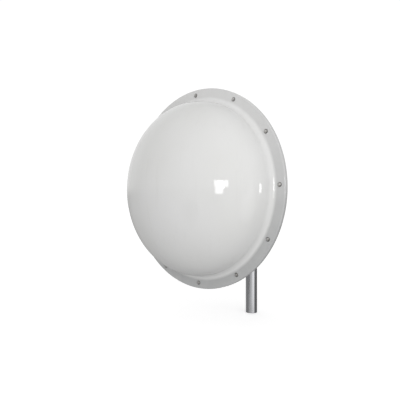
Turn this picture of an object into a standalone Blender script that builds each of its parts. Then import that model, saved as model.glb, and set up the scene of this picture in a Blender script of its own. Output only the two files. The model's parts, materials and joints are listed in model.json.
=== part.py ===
"""Mast-mounted parabolic dish antenna with a bolted radome.

The mast axis is +Z with the mast foot at the origin. The dish looks along -Y.
Lengths are in metres. Turned parts of the dish and of the feed are drawn as
(radius, height) outlines, where height is measured forwards from the front
face of the radome flange.
"""
from math import asin, atan, atan2, cos, degrees, pi, radians, sin, sqrt, tan

import bmesh
import bpy
from mathutils import Vector

# Driving dimensions of the dish
DISH_RADIUS = 0.450
DISH_HEIGHT = 0.649
MAST_SETBACK = 0.433

# Radome
RADOME_WALL = 0.004
RADOME_DOME_RADIUS = 0.860 * DISH_RADIUS
RADOME_DOME_HEIGHT = 0.544 * DISH_RADIUS
RADOME_FILLET = 0.024
RADOME_EDGE = 0.005
RADOME_LIP = 0.0165

# Radome screws
SCREW_COUNT = 12
SCREW_CIRCLE = 0.943 * DISH_RADIUS
SCREW_PHASE = 1.2
SCREW_HOLE_RADIUS = 0.0035
SCREW_WASHER_RADIUS = 0.009

# Reflector and its gasket
SHEET = 0.002
APERTURE_RADIUS = 0.400
FOCAL_LENGTH = 0.264
RIM_FLANGE_RADIUS = 0.440
RIM_HEM = 0.009
REFLECTOR_HOLE = 0.0225
GASKET_THICKNESS = 0.002
GASKET_INNER = 0.411
GASKET_OUTER = 0.4195

# Back ring and back plate
RING_RADIUS = 0.120
RING_FOOT_RADIUS = 0.142
RING_FLANGE_RADIUS = 0.088
RING_SHEET = 0.003
PLATE_RADIUS = 0.124
PLATE_THICKNESS = 0.005
PLATE_DISTANCE = 0.2223

# Rivets that join the back ring to the reflector
RIVET_COUNT = 6
RIVET_CIRCLE = 0.131
RIVET_RADIUS = 0.0025
RIVET_HEAD_RADIUS = 0.0055
RIVET_HEAD_HEIGHT = 0.0028
RIVET_TAIL = 0.0015

# Tilt bracket, bolted to the back plate
BRACKET_SHEET = 0.005
BRACKET_HALF_WIDTH = 0.0605
BRACKET_HALF_HEIGHT = 0.112
BRACKET_BOLT_X = 0.040
BRACKET_BOLT_Z = 0.092
BRACKET_REACH_Y = -0.060
BRACKET_HOLE_MARGIN = 0.004
BEND_RADIUS = 0.009

# Tilt pivot and its locking slot
PIVOT_Y = -0.125
PIVOT_DROP = 0.055
SLOT_RADIUS = 0.110
TILT_RANGE = 20.0

# Side view of the bracket's cheek, from its web, the dish centre and the pivot
WEB_STRIP = 0.030
CHEEK_START = 0.034
CHEEK_START_HEIGHT = 0.104
CHEEK_BELOW_PIVOT = (0.021, -0.022)
CHEEK_REACH = 0.060
CHEEK_LOW = 0.020
CHEEK_HIGH = 0.078
CHEEK_SHOULDER = (-0.020, 0.084)
CHEEK_CORNER = 0.020
CHEEK_NOSE_CORNER = 0.015

# Mast and the channel clamped to it
MAST_RADIUS = 0.03015
MAST_WALL = 0.0039
MAST_TOP = DISH_HEIGHT + 0.170
CAP_THICKNESS = 0.004
CAP_CHAMFER = 0.002
CAP_SKIRT = 0.020
CAP_WALL = 0.003
CHANNEL_HALF_WIDTH = 0.055
CHANNEL_HALF_HEIGHT = 0.095
CHANNEL_WEB_Y = -0.0523
CHANNEL_EAR_Y = -0.150
CHANNEL_SHEET = 0.005
CHANNEL_SHOULDER = 0.024
SHOULDER_EASE = 0.002
SHOULDER_DROP = 0.006
SHOULDER_CORNER = 0.010
EAR_HIGH = 0.076
EAR_LOW = 0.078
EAR_CORNER = 0.020

# U-bolts and the saddles between channel and mast
CLAMP_SPACING = 0.070
U_BOLT_ROD = 0.005
U_BOLT_GAP = 0.0006
U_BOLT_END_Y = -0.082
SADDLE_HALF_WIDTH = 0.048
SADDLE_HALF_HEIGHT = 0.015
SADDLE_WING_Y = -0.012
U_BOLT_WASHER_RADIUS = 0.010
U_BOLT_WASHER = 0.0018
U_BOLT_NUT_FLATS = 0.016
U_BOLT_NUT_HEIGHT = 0.008

# Bolts as (across flats, head height, washer radius, washer thickness, shaft radius, length)
SCREW_SIZE = (0.010, 0.0045, SCREW_WASHER_RADIUS, 0.0014, 0.003, 0.020)
BRACKET_BOLT_RADIUS = 0.005
BRACKET_BOLT_SIZE = (0.016, 0.0065, 0.010, 0.002, BRACKET_BOLT_RADIUS, 0.022)
TILT_BOLT_RADIUS = 0.006
TILT_BOLT_SIZE = (0.019, 0.0075, 0.0125, 0.0022, TILT_BOLT_RADIUS, 0.027)
TILT_NUT_FLATS = 0.019
TILT_NUT_HEIGHT = 0.010
HEX_TOP = 0.93
BOLT_CHAMFER = 0.15
NUT_CHAMFER = 0.12

# Feed
FEED_RADIUS = 0.020
FEED_WALL = 0.0015
FEED_REAR_Y = -0.195
FEED_FRONT_Y = -0.500
ADAPTER_RADIUS = 0.027
ADAPTER_REAR_Y = -0.150
ADAPTER_FLAT = 0.024
ADAPTER_CHAMFER = 0.002
FLAT_HALF_WIDTH = 0.040
FLAT_FRONT_Y = -0.190
FLAT_REAR_Y = -0.154
CONE_LENGTH = 0.045
CONE_RADIUS = 0.044
CONE_CURVE = 1.4
SPLASH_RADIUS = 0.047
SPLASH_THICKNESS = 0.006
SPLASH_CHAMFER = 0.002
COLLAR_FLANGE_RADIUS = 0.046
COLLAR_FLANGE = 0.004
COLLAR_CHAMFER = 0.001
COLLAR_RADIUS = 0.030
COLLAR_REAR_Y = -0.197
COLLAR_SCREW_Y = -0.206
CONNECTOR_Y = -0.172

# Collar screw: shaft, neck and knob
COLLAR_SCREW_RADIUS = 0.003
COLLAR_SCREW_STANDOFF = 0.0008
NECK_RADIUS = 0.0045
NECK_START = COLLAR_RADIUS + 0.002
KNOB_RADIUS = 0.009
KNOB_START = COLLAR_RADIUS + 0.006
KNOB_END = COLLAR_RADIUS + 0.015
KNOB_CHAMFER = 0.001

# Connector: flange, barrel and its blind socket
PORT_SIDES = 16
PORT_FLANGE_RADIUS = 0.0105
PORT_FLANGE = 0.003
PORT_RADIUS = 0.0079
PORT_TIP_RADIUS = 0.0073
PORT_LENGTH = 0.0205
PORT_CHAMFER = 0.001
SOCKET_RADIUS = 0.0060
SOCKET_FLOOR = 0.0120

# Clearances and facets
GAP = 0.0003
RUNNING_GAP = 0.0005
BOLT_CLEARANCE = 0.0005
WELD = 0.000001
SHARP_ANGLE = radians(35)
DISH_SIDES = 60
RING_SIDES = 48
TUBE_SIDES = 32
BOLT_SIDES = 12
OVERCUT = 0.010

# Levels along the dish axis, forwards from the flange face
GASKET_TOP = -RADOME_WALL - GAP
RIM_LEVEL = GASKET_TOP - GASKET_THICKNESS - GAP
VERTEX_LEVEL = RIM_LEVEL - APERTURE_RADIUS ** 2 / (4 * FOCAL_LENGTH)

# World positions
DISH_CENTRE = Vector((0, -MAST_SETBACK, DISH_HEIGHT))
PIVOT = Vector((0, PIVOT_Y, DISH_HEIGHT - PIVOT_DROP))
FACING = (radians(90), 0, 0)
U_BOLT_X = MAST_RADIUS + U_BOLT_GAP + U_BOLT_ROD


def clear_scene():
    """Start from an empty scene."""
    for item in list(bpy.data.objects):
        bpy.data.objects.remove(item, do_unlink=True)


def material(name, colour, roughness, metallic):
    """A plain Principled material."""
    finish = bpy.data.materials.new(name)
    finish.use_nodes = True
    shader = finish.node_tree.nodes["Principled BSDF"]
    shader.inputs["Base Color"].default_value = (*colour, 1)
    shader.inputs["Roughness"].default_value = roughness
    shader.inputs["Metallic"].default_value = metallic
    return finish


def make_materials():
    """The finishes of the whole antenna, by name."""
    return {
        "radome": material("radome_white", (0.80, 0.80, 0.79), 0.15, 0),
        "reflector": material("spun_aluminium", (0.78, 0.79, 0.80), 0.38, 1),
        "gasket": material("gasket_rubber", (0.03, 0.03, 0.03), 0.80, 0),
        "galvanised": material("galvanised_steel", (0.50, 0.51, 0.53), 0.40, 1),
        "mast": material("mast_steel", (0.46, 0.46, 0.49), 0.30, 1),
        "fastener": material("stainless_steel", (0.60, 0.60, 0.60), 0.28, 1),
        "aluminium": material("feed_aluminium", (0.75, 0.76, 0.77), 0.35, 1),
        "dielectric": material("feed_dielectric", (0.85, 0.84, 0.80), 0.40, 0),
        "brass": material("connector_plating", (0.72, 0.62, 0.40), 0.30, 1),
        "cap": material("cap_plastic", (0.05, 0.05, 0.05), 0.55, 0),
    }


def joint_empty(name, position, parent=None):
    """An empty on a joint's axis, which carries the pieces that move with it."""
    empty = bpy.data.objects.new(name, None)
    bpy.context.collection.objects.link(empty)
    empty.parent = parent
    empty.location = position - (world_position(parent) if parent else Vector((0, 0, 0)))
    return empty


def world_position(item):
    """Where an empty or object lies, summed up its parents, which only shift."""
    position = item.location.copy()
    while item.parent:
        item = item.parent
        position += item.location
    return position


def add_object(name, bm, finish, parent, position, rotation=(0, 0, 0)):
    """Turn a bmesh into a named object at a world position under its joint empty."""
    bmesh.ops.remove_doubles(bm, verts=bm.verts, dist=WELD)
    bmesh.ops.recalc_face_normals(bm, faces=bm.faces)
    mesh = bpy.data.meshes.new(name)
    bm.to_mesh(mesh)
    bm.free()
    mesh.shade_smooth()
    mesh.set_sharp_from_angle(angle=SHARP_ANGLE)
    item = bpy.data.objects.new(name, mesh)
    bpy.context.collection.objects.link(item)
    if finish:
        mesh.materials.append(finish)
    item.parent = parent
    base = world_position(parent) if parent else Vector((0, 0, 0))
    item.location = Vector(position) - base
    item.rotation_euler = rotation
    return item


def ring(radius, height, sides, hexagon=False):
    """Points round +Z, on a circle or on a hexagon given by half its width across flats."""
    points = []
    for step in range(sides):
        angle = 2 * pi * step / sides
        reach = radius
        if hexagon:
            off_flat = (angle % radians(60)) - radians(30)
            reach = radius / cos(off_flat)
        points.append((reach * cos(angle), reach * sin(angle), height))
    return points


def skinned(rings, closed):
    """Join a stack of rings, either into a tube that closes on itself or with end caps."""
    bm = bmesh.new()
    loops = [[bm.verts.new(point) for point in points] for points in rings]
    pairs = list(zip(loops, loops[1:]))
    if closed:
        pairs.append((loops[-1], loops[0]))
    for low, high in pairs:
        for this in range(len(low)):
            following = (this + 1) % len(low)
            bm.faces.new((low[this], low[following], high[following], high[this]))
    if not closed:
        bm.faces.new(reversed(loops[0]))
        bm.faces.new(loops[-1])
    return bm


def turned(outline, sides):
    """Turn an outline of (radius, height). It closes on itself unless it ends on the axis."""
    bm = bmesh.new()
    points = [bm.verts.new((radius, 0, height)) for radius, height in outline]
    edges = [bm.edges.new(pair) for pair in zip(points, points[1:])]
    if outline[0][0] > 0:
        edges.append(bm.edges.new((points[-1], points[0])))
    bmesh.ops.spin(
        bm,
        geom=points + edges,
        cent=(0, 0, 0),
        axis=(0, 0, 1),
        angle=2 * pi,
        steps=sides,
        use_merge=True,
    )
    return bm


def prism(outline, low, high, axis):
    """Extrude an outline along X, Y or Z. The outline holds the other two coordinates."""
    places = {
        "X": lambda u, v, w: (w, u, v),
        "Y": lambda u, v, w: (u, w, v),
        "Z": lambda u, v, w: (u, v, w),
    }
    place = places[axis]
    rings = [[place(u, v, level) for u, v in outline] for level in (low, high)]
    return skinned(rings, closed=False)


def arc(centre, radius, start, end, steps):
    """Points on an arc, angles in degrees."""
    points = []
    for step in range(steps + 1):
        angle = radians(start + (end - start) * step / steps)
        points.append((centre[0] + radius * cos(angle), centre[1] + radius * sin(angle)))
    return points


def rounded(corners, steps=4):
    """Round the corners of an outline given as (u, v, corner radius)."""
    outline = []
    for index, (u, v, radius) in enumerate(corners):
        corner = Vector((u, v))
        if radius == 0:
            outline.append((u, v))
            continue
        before = (Vector(corners[index - 1][:2]) - corner).normalized()
        after = (Vector(corners[(index + 1) % len(corners)][:2]) - corner).normalized()
        half = before.angle(after) / 2
        centre = corner + (before + after).normalized() * radius / sin(half)
        first = corner + before * radius / tan(half) - centre
        last = corner + after * radius / tan(half) - centre
        start = degrees(atan2(first.y, first.x))
        turn = (degrees(atan2(last.y, last.x)) - start + 180) % 360 - 180
        outline += arc(centre, radius, start, start + turn, steps)
    return outline


def u_section(half_width, web_outside, tip, sheet, bend):
    """The (x, y) outline of a bent plate: a web along X with two ears that reach to tip."""
    toward = 1 if tip > web_outside else -1
    inner_bend = bend - sheet
    centre_y = web_outside + toward * bend
    centre_x = half_width - bend
    base = -90 * toward
    right_outer = arc((centre_x, centre_y), bend, base, 0, 4)
    right_inner = arc((centre_x, centre_y), inner_bend, 0, base, 4)
    left_outer = [(-x, y) for x, y in reversed(right_outer)]
    left_inner = [(-x, y) for x, y in reversed(right_inner)]
    outline = right_outer + [(half_width, tip), (half_width - sheet, tip)]
    outline += right_inner + left_inner
    outline += [(sheet - half_width, tip), (-half_width, tip)] + left_outer
    return outline


def trim(item, tool, operation):
    """Apply a hidden tool body to an object with a Boolean modifier."""
    tool.hide_render = True
    tool.display_type = "WIRE"
    change = item.modifiers.new(tool.name, "BOOLEAN")
    change.operation = operation
    change.solver = "EXACT"
    change.object = tool


def pins(centres, radius, low, high, axis):
    """Several straight pins in one mesh, as a drill for a pattern of holes."""
    merged = bmesh.new()
    for u, v in centres:
        outline = arc((u, v), radius, 0, 360, BOLT_SIDES)[:-1]
        pin = prism(outline, low, high, axis)
        bmesh.ops.recalc_face_normals(pin, faces=pin.faces)
        shape = bpy.data.meshes.new("pin")
        pin.to_mesh(shape)
        pin.free()
        merged.from_mesh(shape)
        bpy.data.meshes.remove(shape)
    return merged


def drill(item, centres, radius, low, high, axis, parent=None, position=(0, 0, 0), rotation=(0, 0, 0)):
    """Cut a pattern of round holes through an object."""
    tool_name = item.name + "_drill_" + str(len(item.modifiers))
    bm = pins(centres, radius, low, high, axis)
    tool = add_object(tool_name, bm, None, parent, position, rotation)
    trim(item, tool, "DIFFERENCE")


def bolt(across_flats, head_height, washer_radius, washer_thickness, shaft_radius, length):
    """A hexagon head bolt on +Z, head up, with the underside of its washer at zero."""
    flat = across_flats / 2
    chamfer = head_height * BOLT_CHAMFER
    top = washer_thickness + head_height
    rings = [
        ring(shaft_radius, -length, BOLT_SIDES),
        ring(shaft_radius, 0, BOLT_SIDES),
        ring(washer_radius, 0, BOLT_SIDES),
        ring(washer_radius, washer_thickness, BOLT_SIDES),
        ring(flat, washer_thickness, BOLT_SIDES, hexagon=True),
        ring(flat, top - chamfer, BOLT_SIDES, hexagon=True),
        ring(flat * HEX_TOP, top, BOLT_SIDES),
    ]
    return skinned(rings, closed=False)


def nut(across_flats, height, bore):
    """A hexagon nut on +Z, standing on zero."""
    flat = across_flats / 2
    chamfer = height * NUT_CHAMFER
    rings = [
        ring(bore, 0, BOLT_SIDES),
        ring(flat, 0, BOLT_SIDES, hexagon=True),
        ring(flat, height - chamfer, BOLT_SIDES, hexagon=True),
        ring(flat * HEX_TOP, height, BOLT_SIDES),
        ring(bore, height, BOLT_SIDES),
    ]
    return skinned(rings, closed=True)


def radome_outline():
    """The shell from its apex over the dome and flange to the lip, and back inside."""
    base = RADOME_FILLET
    rise = RADOME_DOME_HEIGHT - base
    outline = []
    steps = 9
    for step in range(steps):
        angle = pi / 2 * step / steps
        outline.append((RADOME_DOME_RADIUS * sin(angle), base + rise * cos(angle)))
    foot = RADOME_DOME_RADIUS + RADOME_FILLET
    outline += arc((foot, base), RADOME_FILLET, 180, 270, 3)
    edge = (DISH_RADIUS - RADOME_EDGE, -RADOME_EDGE)
    outline += arc(edge, RADOME_EDGE, 90, 0, 3)
    outline.append((DISH_RADIUS, -RADOME_LIP))
    inner_lip = DISH_RADIUS - RADOME_WALL
    outline.append((inner_lip, -RADOME_LIP))
    outline += arc(edge, RADOME_EDGE - RADOME_WALL, 0, 90, 1)
    outline += arc((foot, base), RADOME_FILLET + RADOME_WALL, 270, 180, 3)
    inner_steps = 7
    for step in range(1, inner_steps + 1):
        angle = pi / 2 * (1 - step / inner_steps)
        radius = (RADOME_DOME_RADIUS - RADOME_WALL) * sin(angle)
        outline.append((radius, base + (rise - RADOME_WALL) * cos(angle)))
    outline[-1] = (0, RADOME_DOME_HEIGHT - RADOME_WALL)
    return outline


def screw_places():
    """Centres of the radome screws, as (x, height) about the dish axis."""
    places = []
    for index in range(SCREW_COUNT):
        angle = radians(SCREW_PHASE) + 2 * pi * index / SCREW_COUNT
        places.append((SCREW_CIRCLE * cos(angle), SCREW_CIRCLE * sin(angle)))
    return places


def build_radome(finishes, parent):
    """The moulded dome with its flange and turned-back lip."""
    bm = turned(radome_outline(), DISH_SIDES)
    shell = add_object("radome_shell", bm, finishes["radome"], parent, DISH_CENTRE, FACING)
    low = -RADOME_WALL - OVERCUT
    high = OVERCUT
    drill(shell, screw_places(), SCREW_HOLE_RADIUS, low, high, "Z", parent, DISH_CENTRE, FACING)


def build_radome_screws(finishes, parent):
    """The screws that hold the radome flange to the reflector rim."""
    for index, (across, up) in enumerate(screw_places()):
        bm = bolt(*SCREW_SIZE)
        position = DISH_CENTRE + Vector((across, -GAP, up))
        name = "radome_screw_%02d" % (index + 1)
        add_object(name, bm, finishes["fastener"], parent, position, FACING)


def paraboloid(radius):
    """Height of the reflector's front face at a radius."""
    return VERTEX_LEVEL + radius ** 2 / (4 * FOCAL_LENGTH)


def behind_paraboloid(radius, distance):
    """The point at a distance behind the reflector's front face, square to it."""
    slope = atan(radius / (2 * FOCAL_LENGTH))
    return (radius + distance * sin(slope), paraboloid(radius) - distance * cos(slope))


def build_reflector(finishes, parent):
    """The spun dish with a flat rim flange and a hem turned back from it."""
    steps = 6
    span = APERTURE_RADIUS - REFLECTOR_HOLE
    radii = [REFLECTOR_HOLE + span * step / steps for step in range(steps + 1)]
    front = [(radius, paraboloid(radius)) for radius in radii]
    back = [behind_paraboloid(radius, SHEET) for radius in radii]
    outline = front
    outline.append((RIM_FLANGE_RADIUS, RIM_LEVEL))
    outline.append((RIM_FLANGE_RADIUS, RIM_LEVEL - RIM_HEM))
    outline.append((RIM_FLANGE_RADIUS - SHEET, RIM_LEVEL - RIM_HEM))
    outline.append((RIM_FLANGE_RADIUS - SHEET, RIM_LEVEL - SHEET))
    outline.append((APERTURE_RADIUS + SHEET, RIM_LEVEL - SHEET))
    outline += reversed(back)
    outline.remove(back[-1])
    bm = turned(outline, DISH_SIDES)
    dish = add_object("reflector", bm, finishes["reflector"], parent, DISH_CENTRE, FACING)
    drill_rivet_holes(dish, parent)
    low = RIM_LEVEL - SHEET - OVERCUT / 2
    high = RIM_LEVEL + OVERCUT / 2
    drill(dish, screw_places(), SCREW_HOLE_RADIUS, low, high, "Z", parent, DISH_CENTRE, FACING)


def rivet_places():
    """Where each ring rivet crosses the reflector's front face, and its way backwards."""
    places = []
    slope = atan(RIVET_CIRCLE / (2 * FOCAL_LENGTH))
    level = paraboloid(RIVET_CIRCLE)
    for index in range(RIVET_COUNT):
        angle = 2 * pi * (index + 0.5) / RIVET_COUNT
        across = cos(angle)
        up = sin(angle)
        position = DISH_CENTRE + Vector((RIVET_CIRCLE * across, -level, RIVET_CIRCLE * up))
        backwards = Vector((sin(slope) * across, cos(slope), sin(slope) * up))
        places.append((position, backwards))
    return places


def drill_rivet_holes(item, parent):
    """Cut the rivet holes, each square to the reflector's face."""
    for position, backwards in rivet_places():
        turn = backwards.to_track_quat("Z", "Y").to_euler()
        radius = RIVET_RADIUS + GAP
        drill(item, [(0, 0)], radius, -OVERCUT, 2 * OVERCUT, "Z", parent, position, turn)


def build_ring_rivets(finishes, parent):
    """Round-headed rivets from the back ring's foot through the reflector."""
    stack = SHEET + RUNNING_GAP + RING_SHEET + 3 * GAP
    tail = RUNNING_GAP + RIVET_TAIL
    for index, (position, backwards) in enumerate(rivet_places()):
        outline = [(0, -tail), (RIVET_RADIUS, -tail), (RIVET_RADIUS, stack)]
        steps = 4
        for step in range(steps + 1):
            angle = pi / 2 * step / steps
            radius = RIVET_HEAD_RADIUS * cos(angle)
            outline.append((radius, stack + RIVET_HEAD_HEIGHT * sin(angle)))
        outline[-1] = (0, stack + RIVET_HEAD_HEIGHT)
        bm = turned(outline, BOLT_SIDES)
        turn = backwards.to_track_quat("Z", "Y").to_euler()
        name = "ring_rivet_%d" % (index + 1)
        add_object(name, bm, finishes["fastener"], parent, position, turn)


def build_rim_gasket(finishes, parent):
    """The seal between the radome flange and the reflector rim."""
    low = GASKET_TOP - GASKET_THICKNESS
    outline = [
        (GASKET_OUTER, GASKET_TOP),
        (GASKET_OUTER, low),
        (GASKET_INNER, low),
        (GASKET_INNER, GASKET_TOP),
    ]
    bm = turned(outline, DISH_SIDES)
    add_object("rim_gasket", bm, finishes["gasket"], parent, DISH_CENTRE, FACING)


def axis_level(y):
    """Height on the dish axis of a world Y coordinate, forwards from the flange face."""
    return -y - MAST_SETBACK


def build_back_ring(finishes, parent):
    """The Z-section drum that carries the reflector."""
    bore = RING_RADIUS - RING_SHEET
    foot_top = [RING_FOOT_RADIUS, (RING_FOOT_RADIUS + RING_RADIUS) / 2, RING_RADIUS, bore]
    stand_off = SHEET + RUNNING_GAP
    rear = axis_level(-PLATE_DISTANCE) + PLATE_THICKNESS + GAP
    outline = [behind_paraboloid(radius, stand_off) for radius in foot_top]
    outline.append((bore, rear + RING_SHEET))
    outline.append((RING_FLANGE_RADIUS, rear + RING_SHEET))
    outline.append((RING_FLANGE_RADIUS, rear))
    outline.append((RING_RADIUS, rear))
    outline.append(behind_paraboloid(RING_RADIUS, stand_off + RING_SHEET))
    outline.append(behind_paraboloid(RING_FOOT_RADIUS, stand_off + RING_SHEET))
    bm = turned(outline, RING_SIDES)
    item = add_object("back_ring", bm, finishes["galvanised"], parent, DISH_CENTRE, FACING)
    drill_bracket_holes(item, parent)
    drill_rivet_holes(item, parent)


def bracket_bolt_places():
    """Centres of the four bolts that hold the tilt bracket, about the dish axis."""
    return [
        (side * BRACKET_BOLT_X, level * BRACKET_BOLT_Z)
        for side in (-1, 1)
        for level in (-1, 1)
    ]


def drill_bracket_holes(item, parent):
    """Cut the four bracket bolt holes through a piece of the back structure."""
    rear = axis_level(-PLATE_DISTANCE)
    low = rear - OVERCUT
    high = rear + PLATE_THICKNESS + OVERCUT
    radius = BRACKET_BOLT_RADIUS + BOLT_CLEARANCE
    drill(item, bracket_bolt_places(), radius, low, high, "Z", parent, DISH_CENTRE, FACING)


def build_back_plate(finishes, parent):
    """The disc between the back ring and the tilt bracket."""
    rear = axis_level(-PLATE_DISTANCE)
    hole = COLLAR_RADIUS + GAP * 2
    outline = [
        (PLATE_RADIUS, rear + PLATE_THICKNESS),
        (PLATE_RADIUS, rear),
        (hole, rear),
        (hole, rear + PLATE_THICKNESS),
    ]
    bm = turned(outline, RING_SIDES)
    item = add_object("back_plate", bm, finishes["galvanised"], parent, DISH_CENTRE, FACING)
    drill_bracket_holes(item, parent)


def slot_outline(half_width):
    """The curved locking slot in the (y, z) plane, about the pivot."""
    sweep = TILT_RANGE + degrees(asin(BOLT_CLEARANCE / SLOT_RADIUS))
    centre = (PIVOT.y, PIVOT.z)
    start = 90 - sweep
    end = 90 + sweep
    first = arc(centre, SLOT_RADIUS, start, start, 1)[0]
    last = arc(centre, SLOT_RADIUS, end, end, 1)[0]
    outline = arc(centre, SLOT_RADIUS + half_width, start, end, 8)
    outline += arc(last, half_width, end, end + 180, 4)[1:-1]
    outline += arc(centre, SLOT_RADIUS - half_width, end, start, 8)
    outline += arc(first, half_width, start - 180, start, 4)[1:-1]
    return outline


def build_tilt_bracket(finishes, parent):
    """The bent bracket with a cheek outside each ear, slotted for the locking bolts."""
    web = -PLATE_DISTANCE + GAP
    section = u_section(
        BRACKET_HALF_WIDTH, web, BRACKET_REACH_Y, BRACKET_SHEET, BEND_RADIUS
    )
    low = DISH_HEIGHT - BRACKET_HALF_HEIGHT
    high = DISH_HEIGHT + BRACKET_HALF_HEIGHT
    bm = prism(section, low, high, "Z")
    item = add_object("tilt_bracket", bm, finishes["galvanised"], parent, (0, 0, 0))

    top = DISH_HEIGHT + BRACKET_HALF_HEIGHT + OVERCUT
    bottom = DISH_HEIGHT - BRACKET_HALF_HEIGHT - OVERCUT
    below_y, below_z = CHEEK_BELOW_PIVOT
    shoulder_y, shoulder_z = CHEEK_SHOULDER
    nose_y = PIVOT.y + CHEEK_REACH
    corners = [
        (web - OVERCUT, bottom, 0),
        (web + WEB_STRIP, bottom, 0),
        (web + CHEEK_START, DISH_HEIGHT - CHEEK_START_HEIGHT, CHEEK_CORNER),
        (PIVOT.y + below_y, PIVOT.z + below_z, CHEEK_CORNER),
        (nose_y, DISH_HEIGHT + CHEEK_LOW, CHEEK_NOSE_CORNER),
        (nose_y, DISH_HEIGHT + CHEEK_HIGH, CHEEK_CORNER),
        (PIVOT.y + shoulder_y, DISH_HEIGHT + shoulder_z, CHEEK_CORNER),
        (web + CHEEK_START, DISH_HEIGHT + CHEEK_START_HEIGHT, CHEEK_CORNER),
        (web + WEB_STRIP, top, 0),
        (web - OVERCUT, top, 0),
    ]
    wide = BRACKET_HALF_WIDTH + OVERCUT
    bm = prism(rounded(corners), -wide, wide, "X")
    tool = add_object("tilt_bracket_side", bm, None, parent, (0, 0, 0))
    trim(item, tool, "INTERSECT")

    half_slot = TILT_BOLT_RADIUS + BOLT_CLEARANCE
    bm = prism(slot_outline(half_slot), -wide, wide, "X")
    tool = add_object("tilt_bracket_slot", bm, None, parent, (0, 0, 0))
    trim(item, tool, "DIFFERENCE")

    drill(item, [(PIVOT.y, PIVOT.z)], half_slot, -wide, wide, "X", parent)
    low_y = web - OVERCUT
    high_y = web + BRACKET_SHEET + OVERCUT
    middle = COLLAR_RADIUS + BRACKET_HOLE_MARGIN
    drill(item, [(0, DISH_HEIGHT)], middle, low_y, high_y, "Y", parent)
    places = [(x, DISH_HEIGHT + up) for x, up in bracket_bolt_places()]
    radius = BRACKET_BOLT_RADIUS + BOLT_CLEARANCE
    drill(item, places, radius, low_y, high_y, "Y", parent)


def build_bracket_bolts(finishes, parent):
    """The bolts from the tilt bracket through the back plate into the back ring."""
    face = -PLATE_DISTANCE + BRACKET_SHEET + 2 * GAP
    for index, (x, up) in enumerate(bracket_bolt_places()):
        bm = bolt(*BRACKET_BOLT_SIZE)
        position = (x, face, DISH_HEIGHT + up)
        name = "bracket_bolt_%d" % (index + 1)
        add_object(name, bm, finishes["fastener"], parent, position, (radians(-90), 0, 0))


def build_feed_collar(finishes, parent):
    """The collar on the back plate in which the feed turns, with its clamping screw."""
    bore = FEED_RADIUS + RUNNING_GAP
    front = axis_level(-PLATE_DISTANCE) + PLATE_THICKNESS + GAP
    rear = axis_level(COLLAR_REAR_Y)
    outline = [
        (bore, front + COLLAR_FLANGE),
        (COLLAR_FLANGE_RADIUS, front + COLLAR_FLANGE),
        (COLLAR_FLANGE_RADIUS, front),
        (COLLAR_RADIUS, front),
        (COLLAR_RADIUS, rear + COLLAR_CHAMFER),
        (COLLAR_RADIUS - COLLAR_CHAMFER, rear),
        (bore, rear),
    ]
    bm = turned(outline, TUBE_SIDES)
    item = add_object("feed_collar", bm, finishes["aluminium"], parent, DISH_CENTRE, FACING)
    place = [(0, COLLAR_SCREW_Y)]
    low = DISH_HEIGHT + bore - COLLAR_FLANGE
    high = DISH_HEIGHT + COLLAR_RADIUS + OVERCUT
    drill(item, place, COLLAR_SCREW_RADIUS + GAP, low, high, "Z", parent)

    rings = [
        ring(COLLAR_SCREW_RADIUS, bore + COLLAR_SCREW_STANDOFF, BOLT_SIDES),
        ring(COLLAR_SCREW_RADIUS, NECK_START, BOLT_SIDES),
        ring(NECK_RADIUS, NECK_START, BOLT_SIDES),
        ring(NECK_RADIUS, KNOB_START, BOLT_SIDES),
        ring(KNOB_RADIUS, KNOB_START, BOLT_SIDES),
        ring(KNOB_RADIUS, KNOB_END - KNOB_CHAMFER, BOLT_SIDES),
        ring(KNOB_RADIUS - KNOB_CHAMFER, KNOB_END, BOLT_SIDES),
    ]
    bm = skinned(rings, closed=False)
    position = (0, COLLAR_SCREW_Y, DISH_HEIGHT)
    add_object("collar_screw", bm, finishes["fastener"], parent, position)


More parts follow.
